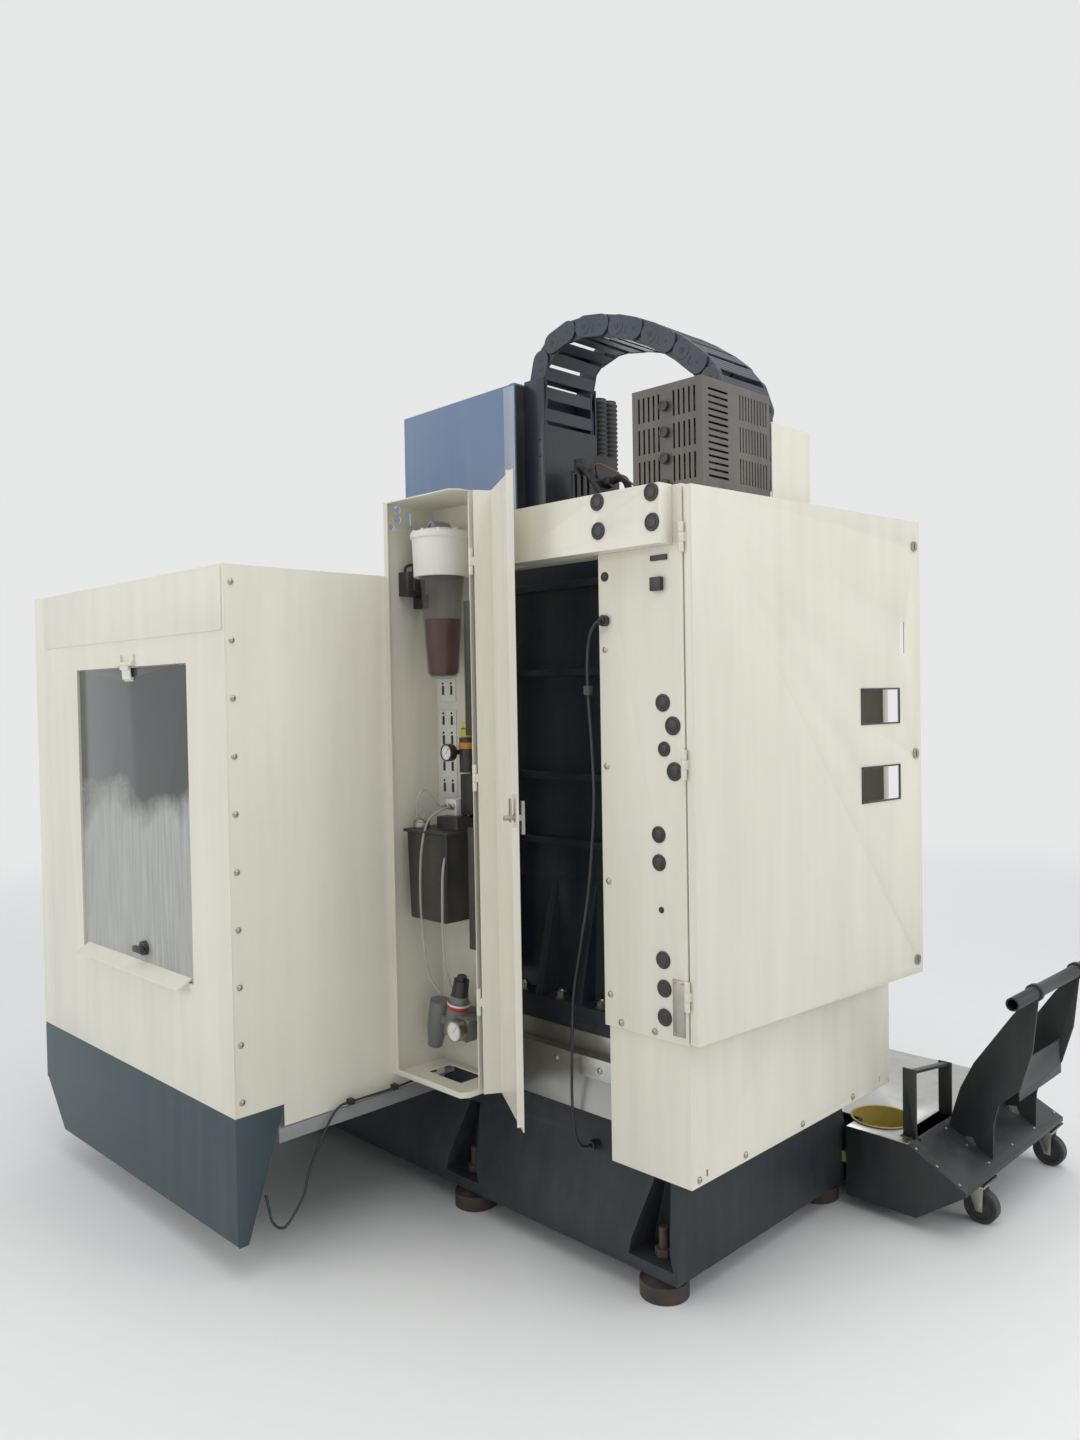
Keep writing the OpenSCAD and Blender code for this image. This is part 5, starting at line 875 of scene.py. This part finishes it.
# Operator side: the pendant is a folded sheet case with a flat screen behind glass, rubber-domed keys and
# three selector knobs. The stop button and the hand wheel are molded plastic.
dress(black_plastic, "regulator_knob", "cable_fittings", "main_switch", "jog_wheel")
dress(red, "emergency_stop")
pendant_coat = soiled("pendant_coat", (0.55, 0.55, 0.51), 0.38, amount=0.12, scale=4)
softened("pendant", pendant_coat, 0.002, body="pendant_box")
screen_glass = soiled("screen_glass", (0.012, 0.014, 0.018), 0.08, soil=(0.08, 0.08, 0.08), amount=0.2,
                      scale=9)
screen = bmesh.new()
block(screen, (512, 768), (-1390.6, -1389), (1392, 1593))
made("pendant_screen", screen, [screen_glass], body="pendant_box", edge=0.0005)
key = bmesh.new()
bar(key, (-8.5, 8.5), (-2.6, 0.6), (-6, 6))
bmesh.ops.bevel(key, geom=key.edges[:], offset=0.0012, segments=2, affect='EDGES')
key_coat = soiled("key_gray", (0.20, 0.21, 0.22), 0.5, amount=0.2, scale=20)
KEY_STEP_X, KEY_STEP_Z = 23.4, 17
key_spots = [(mm(476 + i * KEY_STEP_X, -1397, 1228 + k * KEY_STEP_Z), (0, 0, 0))
             for i in range(15) for k in range(8) if i not in (5, 10)]
repeated("pendant_keys", key, key_spots, key_coat, body="pendant_box")
knob = bmesh.new()
for x in (570, 640, 710):
    turned(knob, mm(x, -1395.5, 1130), (0, -1, 0), [(14, 0), (14, 3), (10, 4), (9, 16), (7.5, 17.5),
                                                    (0, 17.5)], 28)
made("pendant_knobs", knob, [black_plastic], body="pendant_box", angle=30)

# Side windows, door panes and pulls: tinted safety glass in sheet frames. Dried coolant has left the lower
# half of the side windows pale and streaked, and the doors' pulls are brushed steel tubes.
def splashed_glass():
    material, nodes, links, shader = new_material("window_glass")
    place = nodes.new('ShaderNodeTexCoord')
    height = nodes.new('ShaderNodeSeparateXYZ')
    links.new(place.outputs['Object'], height.inputs['Vector'])
    blot = nodes.new('ShaderNodeTexNoise')
    blot.inputs['Scale'].default_value = 4.0
    blot.inputs['Detail'].default_value = 8.0
    links.new(place.outputs['Object'], blot.inputs['Vector'])
    squeeze = nodes.new('ShaderNodeMapping')
    squeeze.inputs['Scale'].default_value = (30.0, 30.0, 1.6)
    links.new(place.outputs['Object'], squeeze.inputs['Vector'])
    run = nodes.new('ShaderNodeTexNoise')
    run.inputs['Scale'].default_value = 3.0
    run.inputs['Detail'].default_value = 5.0
    links.new(squeeze.outputs['Vector'], run.inputs['Vector'])
    level = nodes.new('ShaderNodeMath')
    level.operation = 'MULTIPLY_ADD'
    level.inputs[1].default_value = 0.42
    links.new(blot.outputs['Fac'], level.inputs[0])
    links.new(height.outputs['Z'], level.inputs[2])
    split = nodes.new('ShaderNodeMapRange')
    split.inputs['From Min'].default_value = 1.40
    split.inputs['From Max'].default_value = 1.30
    links.new(level.outputs['Value'], split.inputs['Value'])
    streaked = nodes.new('ShaderNodeMapRange')
    streaked.inputs['From Min'].default_value = 0.25
    streaked.inputs['From Max'].default_value = 0.75
    streaked.inputs['To Min'].default_value = 0.55
    links.new(run.outputs['Fac'], streaked.inputs['Value'])
    stain = nodes.new('ShaderNodeMath')
    stain.operation = 'MULTIPLY'
    links.new(split.outputs['Result'], stain.inputs[0])
    links.new(streaked.outputs['Result'], stain.inputs[1])
    shown = nodes.new('ShaderNodeMix')
    shown.data_type = 'RGBA'
    shown.inputs[6].default_value = (0.085, 0.088, 0.088, 1)
    shown.inputs[7].default_value = (0.50, 0.50, 0.47, 1)
    links.new(stain.outputs['Value'], shown.inputs[0])
    links.new(shown.outputs[2], shader.inputs['Base Color'])
    dull = nodes.new('ShaderNodeMath')
    dull.operation = 'MULTIPLY_ADD'
    dull.inputs[1].default_value = 0.45
    dull.inputs[2].default_value = 0.14
    links.new(stain.outputs['Value'], dull.inputs[0])
    links.new(dull.outputs['Value'], shader.inputs['Roughness'])
    return material


def recolored(piece, material, chosen):
    piece.data.materials.append(material)
    index = len(piece.data.materials) - 1
    for face in piece.data.polygons:
        if chosen(face.center):
            face.material_index = index


GLASS_FACE = 1.0337
glass = splashed_glass()
for side in ("right", "left"):
    pane = softened("side_window_" + side, glass, 0.0008, body="window_" + side)
    recolored(pane, cream, lambda c: abs(c.x) > GLASS_FACE)
    recolored(pane, black_plastic, lambda c: abs(c.x) > GLASS_FACE and 0.74 < c.z < 0.785
              and -0.508 < c.y - BACK < -0.448)
pane_glass = soiled("door_pane", (0.05, 0.055, 0.055), 0.12, soil=(0.3, 0.3, 0.27), amount=0.35, scale=6)
pull_steel = soiled("pull_steel", (0.42, 0.42, 0.41), 0.3, metallic=1.0, amount=0.3, scale=20)
for side, body in ((1, "door_right"), (-1, "door_left")):
    pane = bmesh.new()
    block(pane, sorted((side * 110.5, side * 439.5)), (-1239.6, -1238.4), (901, 1519))
    tint(pane, 0)
    turned(pane, mm(side * 52, -1282, 998), UP, [(0, 0), (11.2, 0), (12, 2), (12, 322), (11.2, 324),
                                                 (0, 324)], 28)
    tint(pane, 1)
    made("pane_and_pull_" + body, pane, [pane_glass, pull_steel], body=body, angle=30)
